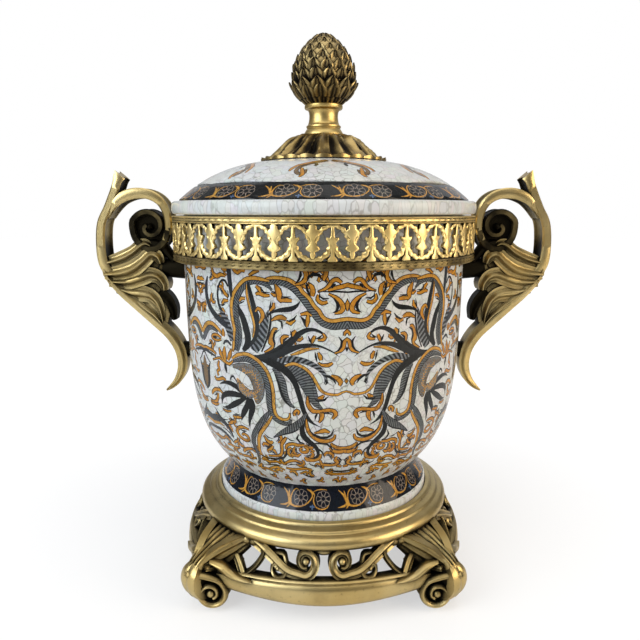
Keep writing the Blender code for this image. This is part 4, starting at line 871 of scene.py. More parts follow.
# %% The scrolled border
def border(sheet, start, length, low, high, bloom=0.36):
    """One repeat of the border, from start degrees over a length, between two heights."""
    tall = high - low

    def spot(x, y, width):
        return (start + x * length, low + y * tall, width)

    for points in (
            [(0.14, 0.2, 0.5), (0.135, 0.36, 1.5), (0.09, 0.62, 1.3), (0.0, 0.86, 0.2)],
            [(0.13, 0.3, 1), (0.12, 0.6, 1.2), (0.105, 0.82, 0.2)],
            [(0.14, 0.32, 1), (0.165, 0.58, 1), (0.185, 0.78, 0.2)],
            [(0.17, 0.3, 1.2), (0.09, 0.15, 1.3), (-0.02, 0.1, 0.2)],
            [(0.18, 0.26, 1), (0.14, 0.1, 0.8), (0.11, 0.03, 0.2)],
            [(0.15, 0.22, 1.3), (0.24, 0.12, 1.1), (0.36, 0.14, 0.9), (0.47, 0.3, 0.8),
             (0.54, 0.56, 0.7), (0.52, 0.76, 0.7), (0.44, 0.9, 0.2)],
            [(0.18, 0.18, 0.9), (0.16, 0.42, 0.8), (0.18, 0.7, 0.7), (0.24, 0.88, 0.6),
             (0.31, 0.78, 0.2)],
            [(0.44, 0.88, 0.2), (0.5, 0.82, 1.4), (0.57, 0.68, 0.9), (0.58, 0.56, 0.2)],
            [(0.55, 0.76, 0.3), (0.63, 0.88, 0.7), (0.74, 0.9, 0.6), (0.8, 0.86, 0.2)],
            [(0.58, 0.62, 0.4), (0.565, 0.38, 0.7), (0.61, 0.14, 0.7), (0.7, 0.05, 0.7),
             (0.79, 0.1, 0.6), (0.83, 0.24, 0.2)]):
        sheet.stroke("gold", [spot(*point) for point in points])
    for x, y in ((0.34, 0.5), (0.735, 0.48)):
        for petal in range(8):
            turn = math.radians(45 * petal)
            reach = bloom * tall
            tip = (math.cos(turn) * reach, math.sin(turn) * reach)
            side = (-math.sin(turn) * 0.36 * reach, math.cos(turn) * 0.36 * reach)
            loop = [(0.25 * tip[0], 0.25 * tip[1]), (0.8 * tip[0] + side[0], 0.8 * tip[1] + side[1]),
                    tip, (0.8 * tip[0] - side[0], 0.8 * tip[1] - side[1]),
                    (0.25 * tip[0], 0.25 * tip[1])]
            centre = (start + x * length, low + y * tall)
            sheet.stroke("rosette", [(centre[0] + a / sheet.per_degree, centre[1] + b, 0.34)
                                     for a, b in loop])
    for a, b in ((-0.03, 0.0), (0.0, 0.07), (0.03, 0.0), (0.0, -0.09)):
        sheet.stroke("blue", [spot(0.55, 0.14, 0.3), spot(0.55 + a, 0.14 + b, 1.1),
                              spot(0.55 + 1.5 * a, 0.14 + 1.5 * b, 0.2)])


foot = Sheet(per_degree=1.36, per_span=2)
foot.stroke("navy", [(-2, 75.6, 15.6), (15, 75.6, 15.6), (32, 75.6, 15.6)])
for k in (-1, 0, 1):
    border(foot, 30.0 * k, 30.0, 68.6, 82.6)
top = Sheet(per_degree=1.902, per_span=2)
top.stroke("black", [(-2, 9.6, 17.4), (60, 9.6, 17.4), (122, 9.6, 17.4)])
for k in range(-1, 6):
    border(top, 24.0 * k - 5.3, 24.0, 2.4, 16.4, 0.45)
for middle, side in ((-4.2, -1), (-4.2, 1), (55.8, -1), (55.8, 1), (115.8, -1), (115.8, 1)):
    for colour, points in (
            ("tan", [(1, 66, 1.6), (6, 63, 1.8), (12, 60, 1.8), (17, 55.6, 1.8), (18.4, 51, 1.6),
                     (16.6, 47.6, 1.6), (13.6, 48.6, 1.4), (13.6, 52, 0.4)]),
            ("ochre", [(2, 68, 1), (8, 65, 1.6), (14, 61.4, 1.6), (19, 57.6, 1.8), (21.4, 53, 1.4),
                       (21.8, 50, 0.3)]),
            ("ochre", [(16, 54, 0.6), (15.2, 50.4, 1.6), (14.4, 47, 1.6), (15.8, 44.6, 0.4)]),
            ("dark", [(10, 61.4, 0.5), (8.4, 58.6, 1.4), (9.4, 56.4, 0.3)])):
        top.outlined(colour, [(middle + side * 0.86 * u, 57 - 1.42 * (68 - s), 1.5 * w + 0.5)
                              for u, s, w in points], margin=0.6)
print("foot and lid patterns:", len(foot.quads), len(top.quads), "quads")

# %% [markdown]
# Crackled glaze
#
# The glaze has crazed into cells a few millimetres wide, and the cracks hold a little
# dirt. Distance to the edge of Voronoi cells gives such lines, and the cells are
# stretched on the rims, where the cracks run straight down. The paint lies under the
# glaze, so one glossy coat covers it all and only the colour changes.


# %% Porcelain finishes
def porcelain(name, cell, stretch, crack):
    finish = Finish(name, Roughness=0.2, Specular_IOR_Level=0.08, Coat_Weight=0.3,
                    Coat_Roughness=0.06)
    paint = finish.node("ShaderNodeAttribute", {"attribute_name": "paint"}, {}, "Color")
    hatch = finish.node("ShaderNodeAttribute", {"attribute_name": "paint"}, {}, "Alpha")
    brush = finish.node("ShaderNodeUVMap", {"uv_map": "brush"}, {})
    parts = finish.node("ShaderNodeSeparateXYZ", {}, {0: brush})
    along, across = (Wire(finish, parts.socket.node.outputs[axis]) for axis in "XY")
    fine_lines = finish.ease(finish.maths_of("SINE", (along + across * 1.3) * 3.4), -0.35, 0.45)
    broad_lines = finish.ease(finish.maths_of("SINE", (along + across * 1.6) * 1.9), -0.1, 0.5)
    fine = finish.ease(hatch, 0.25, 0.4) * finish.ease(hatch, 0.75, 0.6)
    broad = finish.ease(hatch, 0.75, 0.9)
    painted = finish.blend(fine * fine_lines * 0.92, paint, (0.012, 0.014, 0.016))
    painted = finish.blend(broad * broad_lines * 0.8, painted, (0.20, 0.22, 0.235))
    shade = finish.ease(across, -1.0, 1.0, 0.0, 0.4)
    painted = finish.blend(shade, painted, (0.55, 0.55, 0.55), "MULTIPLY")
    place = finish.mapped(stretch)
    wobble = finish.node("ShaderNodeTexNoise", {},
                         {"Vector": place, "Scale": 160.0, "Detail": 2.0}, "Color")
    bent = finish.node("ShaderNodeMix", {"data_type": "RGBA", "blend_type": "LINEAR_LIGHT"},
                       {0: 0.0022, 6: place, 7: wobble}, 2)
    edge = finish.node("ShaderNodeTexVoronoi", {"feature": "DISTANCE_TO_EDGE"},
                       {"Vector": bent, "Scale": 1000.0 / cell}, "Distance")
    small = finish.node("ShaderNodeTexVoronoi", {"feature": "DISTANCE_TO_EDGE"},
                        {"Vector": bent, "Scale": 2300.0 / cell}, "Distance")
    patchy = finish.ease(finish.noise(26.0), 0.38, 0.62)
    line = finish.ease(edge, 0.065, 0.014) * (0.45 + 0.55 * patchy)
    faint = finish.ease(small, 0.07, 0.02) * 0.4 * (1.0 - patchy)
    stain = finish.ease(finish.noise(14.0, 4.0), 0.45, 0.75)
    cells = finish.node("ShaderNodeTexVoronoi", {}, {"Vector": bent, "Scale": 1000.0 / cell}, "Color")
    toned = finish.blend(0.07, painted, cells, "MULTIPLY")
    toned = finish.blend(stain * 0.35, toned, (0.90, 0.84, 0.70), "MULTIPLY")
    cracked = finish.blend(line * crack + faint * crack, toned, (0.30, 0.285, 0.25), "MULTIPLY")
    finish.set("Base Color", cracked)
    finish.set("Roughness", finish.ease(line + faint, 0.0, 1.0, 0.16, 0.42))
    finish.set("Normal", finish.bump(line + 0.2 * finish.noise(60.0), 0.25, -0.0002))
    return finish.material


glaze = porcelain("crackled_porcelain_glaze", 5.2, (1.0, 1.0, 0.9), 0.75)
rim_glaze = porcelain("crazed_rim_glaze", 4.6, (1.0, 1.0, 0.22), 0.5)
print("glazes:", glaze.name, rim_glaze.name)

# %% [markdown]
# The turned porcelain
#
# Where the pattern lies, the wall is the cut sheet wrapped round the axis. The rim,
# the hollow and the base carry no pattern, so a profile spun round the axis closes
# the shell there. The spin has as many steps as the sheet has columns, so the seams
# meet point to point and merge into one closed skin.

# %% Shell helpers
MIRROR_DEGREES = 7.7
SHEET_COLUMNS = 24
TURN_STEPS = 6 * SHEET_COLUMNS


def new_shell():
    working = bmesh.new()
    working.loops.layers.float_color.new("paint")
    working.loops.layers.uv.new("brush")
    return working


def on_axis(radius, height, degrees):
    """A point of a turned form, in metres, from millimetres and degrees round from the front."""
    turn = math.radians(MIRROR_DEGREES + degrees)
    return Vector((radius * math.sin(turn), -radius * math.cos(turn), height)) * MM


def spun_band(working, profile, colour):
    """A profile of (radius, height) in mm spun round the axis, with its faces tinted."""
    before = set(working.faces)
    chain = [working.verts.new(on_axis(radius, height, 0.0)) for radius, height in profile]
    edges = [working.edges.new(pair) for pair in zip(chain, chain[1:])]
    bmesh.ops.spin(working, geom=chain + edges, cent=(0, 0, 0), axis=(0, 0, 1), dvec=(0, 0, 0),
                   angle=2 * math.pi, steps=TURN_STEPS, use_merge=True, use_duplicate=False)
    tint = working.loops.layers.float_color.get("paint")
    for face in working.faces:
        if face not in before:
            face.smooth = True
            for loop in face.loops:
                loop[tint] = (*GLAZES[colour], 0.0)


def finish_shell(working, name, materials, pick):
    loose = [vert for vert in working.verts if not vert.link_faces]
    bmesh.ops.delete(working, geom=loose, context="VERTS")
    bmesh.ops.remove_doubles(working, verts=working.verts[:], dist=2e-6)
    bmesh.ops.recalc_face_normals(working, faces=working.faces[:])
    for face in working.faces:
        face.material_index = pick(face.calc_center_median())
    open_edges = sum(1 for edge in working.edges if len(edge.link_faces) != 2)
    mesh = bpy.data.meshes.new(name)
    working.to_mesh(mesh)
    working.free()
    for material in materials:
        mesh.materials.append(material)
    made = bpy.data.objects.new(name, mesh)
    bpy.context.scene.collection.objects.link(made)
    triangles = sum(len(polygon.vertices) - 2 for polygon in mesh.polygons)
    print(name, "triangles:", triangles, "open edges:", open_edges)
    return made


print("shells turn in", TURN_STEPS, "steps")

# %% [markdown]
# The jar
#
# The rows of the wall are closer together near the waist, where the curve is tight. The
# foot has its own sheet, and the rim, the hollow and the base are spun.

# %% The jar
WAIST = 83.5
WALL_TOP = 268.6
WALL_THICKNESS = 5.0
JAR_ROWS = 22
FOOT_TOP = 0.0668
jar_rows = [WAIST + (WALL_TOP - WAIST) * (k / JAR_ROWS) ** 1.35 for k in range(JAR_ROWS + 1)]
FOOT_CURVE = [(58.0, 80.6), (58.8, 81.7), (60.2, 82.0), (65.0, 82.0), (66.6, 81.6), (69.0, 80.2),
              (72.0, 78.4), (75.4, 76.4), (79.5, 74.6), (83.5, 73.5)]


def foot_radius(height):
    """The foot's radius between the points of its curve."""
    for (low, near), (high, far) in zip(FOOT_CURVE, FOOT_CURVE[1:]):
        if height <= high + 1e-6:
            return near + (far - near) * (height - low) / (high - low)
    return FOOT_CURVE[-1][1]


jar_shell = new_shell()
inner_wall = [(1000 * jar_radius(z * MM) - WALL_THICKNESS, z)
              for z in (262.0, 200.0, 150.0, 115.0, 95.0, 86.0)]
rim_radius = 1000 * jar_radius(WALL_TOP * MM)
spun_band(jar_shell, [(rim_radius, WALL_TOP), (rim_radius - 0.5, 269.3), (rim_radius - 2.0, 269.7),
                      (rim_radius - 4.2, 269.3), (rim_radius - WALL_THICKNESS, 268.0), *inner_wall,
                      (55.0, 84.2), (20.0, 84.0), (0.0, 84.0)], "ground")
spun_band(jar_shell, [(82.0, 60.2), (81.7, 58.8), (80.6, 58.0), (74.6, 58.0), (69.0, 76.0),
                      (30.0, 78.0), (0.0, 78.0)], "ground")
places, triangles = wall.cut(60 * wall.per_degree, jar_rows, SHEET_COLUMNS)
print("wall sheet:", len(triangles), "triangles")
wrap(jar_shell, wall, places, triangles, 60 * wall.per_degree, 6, True,
     lambda u, z: on_axis(1000 * jar_radius(z * MM), z, u))
foot_rows = [60.2, 62.6, 65.0, 66.6, 69.0, 72.0, 75.4, 79.5, 83.5]
places, triangles = foot.cut(30 * foot.per_degree, foot_rows, SHEET_COLUMNS // 2)
wrap(jar_shell, foot, places, triangles, 30 * foot.per_degree, 12, False,
     lambda u, z: on_axis(foot_radius(z), z, u))
jar = finish_shell(jar_shell, "painted_jar", (glaze, rim_glaze),
                   lambda centre: int(centre.z < FOOT_TOP))
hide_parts("porcelain_jar")
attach(jar, "root")

# %% [markdown]
# The lid
#
# The dome's paint is measured along its curve, so the length of that curve is summed
# step by step, and a point of the sheet is found by its distance up from the shoulder.

# %% The lid
LID_SHOULDER_Z = 278.5
LID_ROWS = 26
LID_RIM_FROM = 0.1092
DOME_STEPS = 150
DOME_SHARE = 0.7
lid_run = [(LID_SHOULDER_RADIUS * 1000, LID_SHOULDER_Z)]
for k in range(1, DOME_STEPS + 1):
    radius = LID_SHOULDER_RADIUS * (1 - k / DOME_STEPS * DOME_SHARE)
    lid_run.append((1000 * radius, 1000 * lid_height(radius)))
lid_lengths = [0.0]
for (r0, z0), (r1, z1) in zip(lid_run, lid_run[1:]):
    lid_lengths.append(lid_lengths[-1] + math.hypot(r1 - r0, z1 - z0))


def lid_point(degrees, run):
    """A point of the dome at a distance run in mm up from its shoulder."""
    k = min(max(bisect.bisect_left(lid_lengths, run), 1), DOME_STEPS)
    share = (run - lid_lengths[k - 1]) / (lid_lengths[k] - lid_lengths[k - 1])
    (r0, z0), (r1, z1) = lid_run[k - 1], lid_run[k]
    return on_axis(r0 + (r1 - r0) * share, z0 + (z1 - z0) * share, degrees)


LID_PATTERN_END = 74.0
lid_shell = new_shell()
end = lid_point(-MIRROR_DEGREES, LID_PATTERN_END) / MM
spun_band(lid_shell, [(-end.y, end.z), (20.0, 309.4), (0.0, 309.5)], "ground")
spun_band(lid_shell, [(109.0, LID_SHOULDER_Z), (109.6, 279.0), (110.8, 279.3), (112.0, 278.6),
                      (112.8, 277.0),
                      (113.0, 274.6), (112.8, 272.4), (112.0, 270.6), (110.6, 270.0), (99.6, 270.0),
                      (99.4, 258.2), (95.2, 258.2), (95.0, 285.6), (80.0, 294.0), (55.0, 302.0),
                      (25.0, 305.0), (0.0, 305.0)], "ground")
lid_rows = [LID_PATTERN_END * k / LID_ROWS for k in range(LID_ROWS + 1)]
places, triangles = top.cut(120 * top.per_degree, lid_rows, 2 * SHEET_COLUMNS)
wrap(lid_shell, top, places, triangles, 120 * top.per_degree, 3, False, lid_point)
lid = finish_shell(lid_shell, "painted_lid", (glaze, rim_glaze),
                   lambda centre: int(math.hypot(centre.x, centre.y) > LID_RIM_FROM))
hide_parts("porcelain_lid")
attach(lid, "root")

# %% [markdown]
# Cast metal
#
# Old gilt and bronze are bright where hands and cloths have rubbed them and dark in the hollows, where
# the patina stays. Ambient occlusion inside the piece finds those hollows and darkens them almost to
# black, which is patina and painted shade together, and each point's own darkening value, set piece by
# piece, adds more of both. A slow noise makes the wear uneven, and the same mask makes the hollows
# duller. A fine grain in the bump is the skin of the casting.


# %% Metal finishes
def metal(name, bright, dull, polish, reach, low, high, grain=0.12):
    finish = Finish(name, Metallic=1.0)
    # Patina and painted shade: ambient occlusion darkens the hollows towards the dull colour.
    occlusion_shade = finish.node("ShaderNodeAmbientOcclusion", {"samples": 6, "only_local": True},
                         {"Distance": reach}, "AO")
    cloud = finish.noise(38.0, 4.0)
    patina_and_shade = finish.node("ShaderNodeAttribute", {"attribute_name": "patina_and_shade"}, {}, "Fac")
    wear_and_shade = finish.ease(occlusion_shade + (cloud - 0.5) * 0.6 - patina_and_shade, low, high)
    speck = finish.ease(finish.noise(420.0, 2.0), 0.62, 0.74) * 0.35
    warm = finish.blend(finish.ease(finish.noise(17.0), 0.4, 0.65), bright,
                        tuple(c * m for c, m in zip(bright, (0.86, 0.80, 0.66))))
    # The dull colour stands for patina and painted shade, the warm one for rubbed metal.
    tone = finish.blend(wear_and_shade, dull, warm)
    finish.set("Base Color", finish.blend(speck, tone, dull))
    finish.set("Roughness", finish.ease(wear_and_shade, 0.0, 1.0, 0.58, polish) + (cloud - 0.5) * 0.12)
    fine = finish.noise(900.0, 2.0) * 0.5 + finish.noise(150.0, 3.0)
    finish.set("Normal", finish.bump(fine, grain, 0.0006))
    return finish.material


# Both the gilt and the brass darken in their hollows, as patina and painted shade.
gilt = metal("gallery_gilt_worn_and_painted_shade", (0.84, 0.65, 0.285), (0.022, 0.016, 0.008), 0.38, 0.006, 0.56, 0.93)
brass = metal("antique_brass_worn_and_painted_shade", (0.56, 0.44, 0.205), (0.012, 0.010, 0.006), 0.34, 0.016, 0.56, 1.06)
polished = metal("turned_brass", (0.60, 0.45, 0.18), (0.06, 0.04, 0.014), 0.38, 0.008, 0.45, 0.85, 0.08)
bronze = metal("dark_bronze_cast", (0.44, 0.33, 0.145), (0.010, 0.008, 0.006), 0.34, 0.007, 0.62, 1.02)
print("metals:", [m.name for m in (gilt, brass, polished, bronze)])

# %% [markdown]
# Helpers for cast pieces
#
# Two shapes make most of the mounts. A sweep carries a ring of points along a path by
# extruding it from station to station, which gives scrolls, ribbons and ropes with any
# taper. A plate is an outline drawn flat, extruded and bevelled, which gives the small
# cast ornaments.


# %% Sweep and plate
def sweep(working, rings, shades=None):
    """Carries a closed ring of points through all the rings by extruding it along."""
    own = new_cast()
    layer = own.verts.layers.float["patina_and_shade"]
    shades = shades or [0.0] * len(rings[0])
    ring = [own.verts.new(place) for place in rings[0]]
    for vert, shade in zip(ring, shades):
        vert[layer] = shade
    edges = [own.edges.new(pair) for pair in zip(ring, ring[1:] + ring[:1])]
    own.faces.new(ring[::-1])
    for places in rings[1:]:
        grown = bmesh.ops.extrude_edge_only(own, edges=edges)["geom"]
        fresh = {item for item in grown if isinstance(item, bmesh.types.BMVert)}
        following = []
        for vert in ring:
            following.append(next(edge.other_vert(vert) for edge in vert.link_edges
                                  if edge.other_vert(vert) in fresh))
        for vert, place, shade in zip(following, places, shades):
            vert.co = place
            vert[layer] = shade
        edges = [item for item in grown if isinstance(item, bmesh.types.BMEdge)
                 and all(vert in fresh for vert in item.verts)]
        ring = following
    own.faces.new(ring)
    joined(working, own)
    own.free()


def new_cast():
    """A bmesh whose points carry how dark the patina and painted shade lie on them."""
    working = bmesh.new()
    working.verts.layers.float.new("patina_and_shade")
    return working


def plate(working, outline, thick, edge):
    """A flat outline in X and Z, extruded from Y = 0 towards -Y and bevelled in front."""
    base = working.faces.new([working.verts.new((x, 0.0, z)) for x, z in outline])
    grown = bmesh.ops.extrude_face_region(working, geom=[base])["geom"]
    front = [item for item in grown if isinstance(item, bmesh.types.BMFace)][0]
    verts = list(front.verts)
    bmesh.ops.translate(working, verts=verts, vec=(0.0, -thick, 0.0))
    bmesh.ops.bevel(working, geom=list(front.edges), offset=edge, segments=2, affect="EDGES",
                    profile=0.5, material=-1, clamp_overlap=True)


def piece(name, working, material, node, angle=42.0):
    """Finishes a bmesh as a piece that stands for one solid of the frame."""
    bmesh.ops.recalc_face_normals(working, faces=working.faces[:])
    mesh = bpy.data.meshes.new(name)
    working.to_mesh(mesh)
    working.free()
    mesh.materials.append(material)
    mesh.shade_smooth()
    mesh.set_sharp_from_angle(angle=math.radians(angle))
    made = bpy.data.objects.new(name, mesh)
    bpy.context.scene.collection.objects.link(made)
    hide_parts(node)
    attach(made, "root")
    print(name, "triangles:", sum(len(polygon.vertices) - 2 for polygon in mesh.polygons))


def spun(working, profile, steps):
    """A profile of (radius, height) in mm spun round the axis and merged."""
    chain = [working.verts.new((0.0, -r * MM, z * MM)) for r, z in profile]
    edges = [working.edges.new(pair) for pair in zip(chain, chain[1:])]
    bmesh.ops.spin(working, geom=chain + edges, cent=(0, 0, 0), axis=(0, 0, 1), dvec=(0, 0, 0),
                   angle=2 * math.pi, steps=steps, use_merge=True, use_duplicate=False)
    bmesh.ops.remove_doubles(working, verts=working.verts[:], dist=1e-6)


def joined(working, other, matrix=None, patina_and_shade=0.0):
    """Adds another bmesh, moved by a matrix and darkened by patina and painted shade."""
    if patina_and_shade:
        layer = other.verts.layers.float["patina_and_shade"]
        for vert in other.verts:
            vert[layer] = patina_and_shade
    scrap = bpy.data.meshes.new("scrap")
    other.to_mesh(scrap)
    if matrix:
        scrap.transform(matrix)
    working.from_mesh(scrap)
    bpy.data.meshes.remove(scrap)


print("sweep, plate and turned forms ready")

# %% [markdown]
# Sections and ribbons
#
# A section is a closed outline in shares of a ribbon's thickness and width. Fluted
# sections carry ridges along the ribbon, as cast leaves and scrolls do, and a channel
# is hollow along both faces.


# %% Sections and ribbons
ROUND = [(math.cos(2 * math.pi * k / 10), math.sin(2 * math.pi * k / 10)) for k in range(10)]
CHANNEL = [(1.0, -0.88), (0.92, -0.7), (0.62, -0.56), (0.5, 0.0), (0.62, 0.56), (0.92, 0.7),
           (1.0, 0.88), (0.62, 1.0), (-0.62, 1.0), (-1.0, 0.88), (-0.92, 0.7), (-0.62, 0.56),
           (-0.5, 0.0), (-0.62, -0.56), (-0.92, -0.7), (-1.0, -0.88), (-0.62, -1.0), (0.62, -1.0)]


def fluted_edge(ridges, depth=0.08, count=10):
    """A section whose two narrow edges carry ridges that run along the sweep."""
    section = []
    for side in (1, -1):
        for k in range(count):
            n = side * (-1 + 2 * (k + 0.5) / count)
            section.append((n, side * (1 - 0.3 * n * n + depth * math.cos(ridges * math.pi * n))))
    return section


def fluted_face(ridges, depth=0.3, count=20):
    """A section whose outer face carries ridges across its width, over a flat back."""
    section = []
    for k in range(count + 1):
        a = -1 + 2 * k / count
        crest = abs(math.cos(ridges * math.pi / 2 * a)) if ridges % 2 else abs(
            math.sin(ridges * math.pi / 2 * a))
        section.append(((1 - depth + depth * crest) * (1 - 0.25 * a * a), a))
    return section + [(-0.8, 0.94), (-1.0, 0.5), (-1.0, -0.5), (-0.8, -0.94)]


def ribbon(working, controls, section, across=(0, 1, 0), per_span=4, patina_and_shade=0.0, face_patina_and_shade=0.0):
    """Sweeps a section along (x, y, z, thickness, width) controls, all in mm."""
    across = Vector(across).normalized()
    run = smooth_run(controls, per_span)
    places = [Vector(point[:3]) for point in run]
    last = len(run) - 1
    rings = []
    for i, (place, point) in enumerate(zip(places, run)):
        ahead = places[min(i + 1, last)] - places[max(i - 1, 0)]
        normal = across.cross(ahead).normalized()
        rings.append([(place + normal * (n * point[3] / 2) + across * (a * point[4] / 2)) * MM
                      for n, a in section])
    shades = [patina_and_shade + (face_patina_and_shade if abs(a) < 0.8 else 0.0) for n, a in section]
    sweep(working, rings, shades)


def ball(working, place, radius, patina_and_shade=0.0, stretch=(1, 1, 1)):
    own = new_cast()
    bmesh.ops.create_uvsphere(own, u_segments=16, v_segments=10, radius=radius * MM)
    bmesh.ops.scale(own, vec=stretch, verts=own.verts)
    bmesh.ops.translate(own, vec=Vector(place) * MM, verts=own.verts)
    joined(working, own, patina_and_shade=patina_and_shade)
    own.free()


print("sections have", len(ROUND), len(CHANNEL), len(fluted_edge(2)), len(fluted_face(2)), "points")

# %% [markdown]
# The pierced gallery
#
# A cast strip of thirty repeats runs round the neck: a baluster post under a roped
# arch, then a fleur-de-lis over a roped swag. One repeat is drawn flat and wrapped
# round thirty times, between two rails that carry a row of dashes.

# %% One repeat of the gallery
GALLERY_REPEATS = 30
STRIP_RADIUS = 111.2
REPEAT_LENGTH = 2 * math.pi * STRIP_RADIUS / GALLERY_REPEATS


def mirrored_outline(half, middle=0.0):
    """A closed outline from its right half, listed from the bottom up."""
    left = [(-x, z) for x, z in half[::-1] if x > 1e-6]
    return [((middle + x) * MM, z * MM) for x, z in half + left]


POST = [(0, 242.4), (2.8, 242.4), (3.1, 243.4), (2.5, 245.0), (1.3, 246.4), (1.1, 249.0),
        (1.5, 252.2), (2.5, 254.4), (3.9, 256.2), (3.5, 257.6), (1.9, 256.9), (1.2, 258.0),
        (1.1, 261.0), (0.8, 264.0), (0, 264.8)]
FLEUR = [(0, 244.2), (1.0, 244.6), (1.6, 246.0), (1.7, 247.6), (1.4, 248.4), (2.6, 248.9),
         (4.3, 250.0), (3.9, 251.4), (2.6, 252.5), (1.6, 253.8), (1.4, 255.2), (2.0, 256.8),
         (3.4, 258.6), (4.1, 260.4), (3.4, 261.7), (2.3, 262.3), (2.5, 263.6), (1.6, 264.8), (0, 265.4)]
ARCH = [(-10.6, 253.2), (-9.5, 256.2), (-8.2, 259.3), (-6.2, 261.9), (-3.4, 263.6), (0, 264.2)]
CUP = [(-11.0, 255.2), (-10.6, 251.8), (-9.2, 248.5), (-6.8, 246.0), (-3.6, 244.3), (0, 243.8)]
ROPE_DEPTH = -1.1
ROPE_SIDES = 8
ROPE_TWIST = 1.3


def rope(working, half, middle, thickness):
    """A roped arc, mirrored about the middle."""
    arc = half + [(-x, z) for x, z in half[-2::-1]]
    run = [Vector((middle + x, ROPE_DEPTH, z)) for x, z in smooth_run(arc, 4)]
    rings = []
    for i, place in enumerate(run):
        ahead = (run[min(i + 1, len(run) - 1)] - run[max(i - 1, 0)]).normalized()
        normal = Vector((0, 1, 0)).cross(ahead)
        rings.append([])
        for k in range(ROPE_SIDES):
            angle = 2 * math.pi * k / ROPE_SIDES
            strand = 1.0 + 0.22 * math.cos(2 * angle + ROPE_TWIST * i)
            rings[-1].append((place + normal * (thickness * strand * math.cos(angle))
                              + Vector((0, 1.1 * strand * math.sin(angle), 0))) * MM)
    sweep(working, rings)


flat = new_cast()
plate(flat, mirrored_outline(POST), 2.2 * MM, 0.6 * MM)
plate(flat, mirrored_outline(FLEUR, REPEAT_LENGTH / 2), 2.5 * MM, 0.7 * MM)
rope(flat, ARCH, 0.0, 1.5)
rope(flat, CUP, REPEAT_LENGTH / 2, 1.75)
print("one repeat:", len(flat.faces), "faces")

# %% [markdown]
# Rails and repeats
#
# Each rail is a spun moulding whose middle band swells and sinks into a row of beads.
# The flat repeat is then bent onto the gallery's radius thirty times.

# %% Wrap the gallery
RAIL_BEADS = 120
RAIL_STEPS = 4 * RAIL_BEADS
BEAD_SWELL = 0.0056
FIRST_POST = 2.4
gallery = new_cast()
for rail, low, high in (("lower", 237.4, 242.9), ("upper", 264.6, 269.1)):
    middle = (low + high) / 2
    rows = [(106.3, low), (112.2, low), (112.9, low + 0.5), (112.6, low + 1.1), (112.15, middle - 0.9),
            (112.15, middle - 0.45), (112.15, middle + 0.45), (112.15, middle + 0.9),
            (112.6, high - 1.1), (112.9, high - 0.5), (112.2, high), (106.3, high), (106.3, low)]
    ring = new_cast()
    spun(ring, rows, RAIL_STEPS)
    for vert in ring.verts:
        if abs(vert.co.z / MM - middle) < 0.6 and math.hypot(vert.co.x, vert.co.y) > 0.11:
            turn = math.atan2(vert.co.x, -vert.co.y)
            swell = max(0.0, math.cos(RAIL_BEADS * turn)) ** 0.5
            vert.co.xy *= 1.0 + BEAD_SWELL * swell
    # The lower rail is painted darker all over, as painted shade; the upper rail takes only a little
    # patina.
    joined(gallery, ring, patina_and_shade=0.3 if rail == "lower" else 0.08)
    ring.free()
for k in range(GALLERY_REPEATS):
    start = math.radians(FIRST_POST + 360 / GALLERY_REPEATS * k)
    copy = flat.copy()
    for vert in copy.verts:
        turn = start + vert.co.x / MM / STRIP_RADIUS
        radius = STRIP_RADIUS * MM - 0.0010 - vert.co.y
        vert.co = (radius * math.sin(turn), -radius * math.cos(turn), vert.co.z)
    joined(gallery, copy)
    copy.free()
flat.free()
piece("gilt_gallery", gallery, gilt, "pierced_gallery")

# %% [markdown]
# The finial
#
# The finial is three castings: a cap of eight overlapping leaves, a turned stem, and a
# pine cone. The stem is a spun profile. The cap is a spun disc whose points are then
# lifted and pushed along the leaves' ribs and lobes. The cone is a core with rows of
# one small scale, repeated with the turn of a real cone.

# %% Stem
stem = bmesh.new()
spun(stem, [(0, 327.2), (14.4, 327.2), (14.7, 327.9), (14.5, 328.9), (13.7, 330.4), (12.9, 331.6),
            (12.3, 332.2), (12.4, 332.7), (12.9, 333.3), (12.8, 334.2), (12.1, 334.7), (11.7, 335.2),
            (11.1, 337.0), (10.7, 339.4),
            (10.6, 341.8), (10.9, 344.0), (11.5, 345.3), (12.3, 345.8), (13.7, 346.3), (14.1, 347.0),
            (14.1, 348.6), (13.6, 349.3), (12.0, 349.5), (0, 349.5)], 96)
piece("turned_stem", stem, polished, "finial_stem", 30.0)

# %% [markdown]
# The leaf cap
#
# Its rows follow one profile, and each point is lifted by the crest of its leaf, by the flutes between
# the ribs and by a slow unevenness. The hollows are darkened more, as patina and painted shade.

# %% Leaf cap
CAP_LOBES = 8
CAP_COLUMNS = 288
CAP_PROFILE = [(19.0, 326.9), (21.6, 326.0), (24.8, 323.8), (28.2, 320.8), (31.6, 317.4), (34.8, 314.2),
               (37.8, 311.9), (41.0, 310.6), (43.6, 310.0), (45.8, 309.9)]
cap = new_cast()
hollows = cap.verts.layers.float["patina_and_shade"]


def cap_place(radius, height, turn):
    return (radius * MM * math.sin(turn), -radius * MM * math.cos(turn), height * MM)


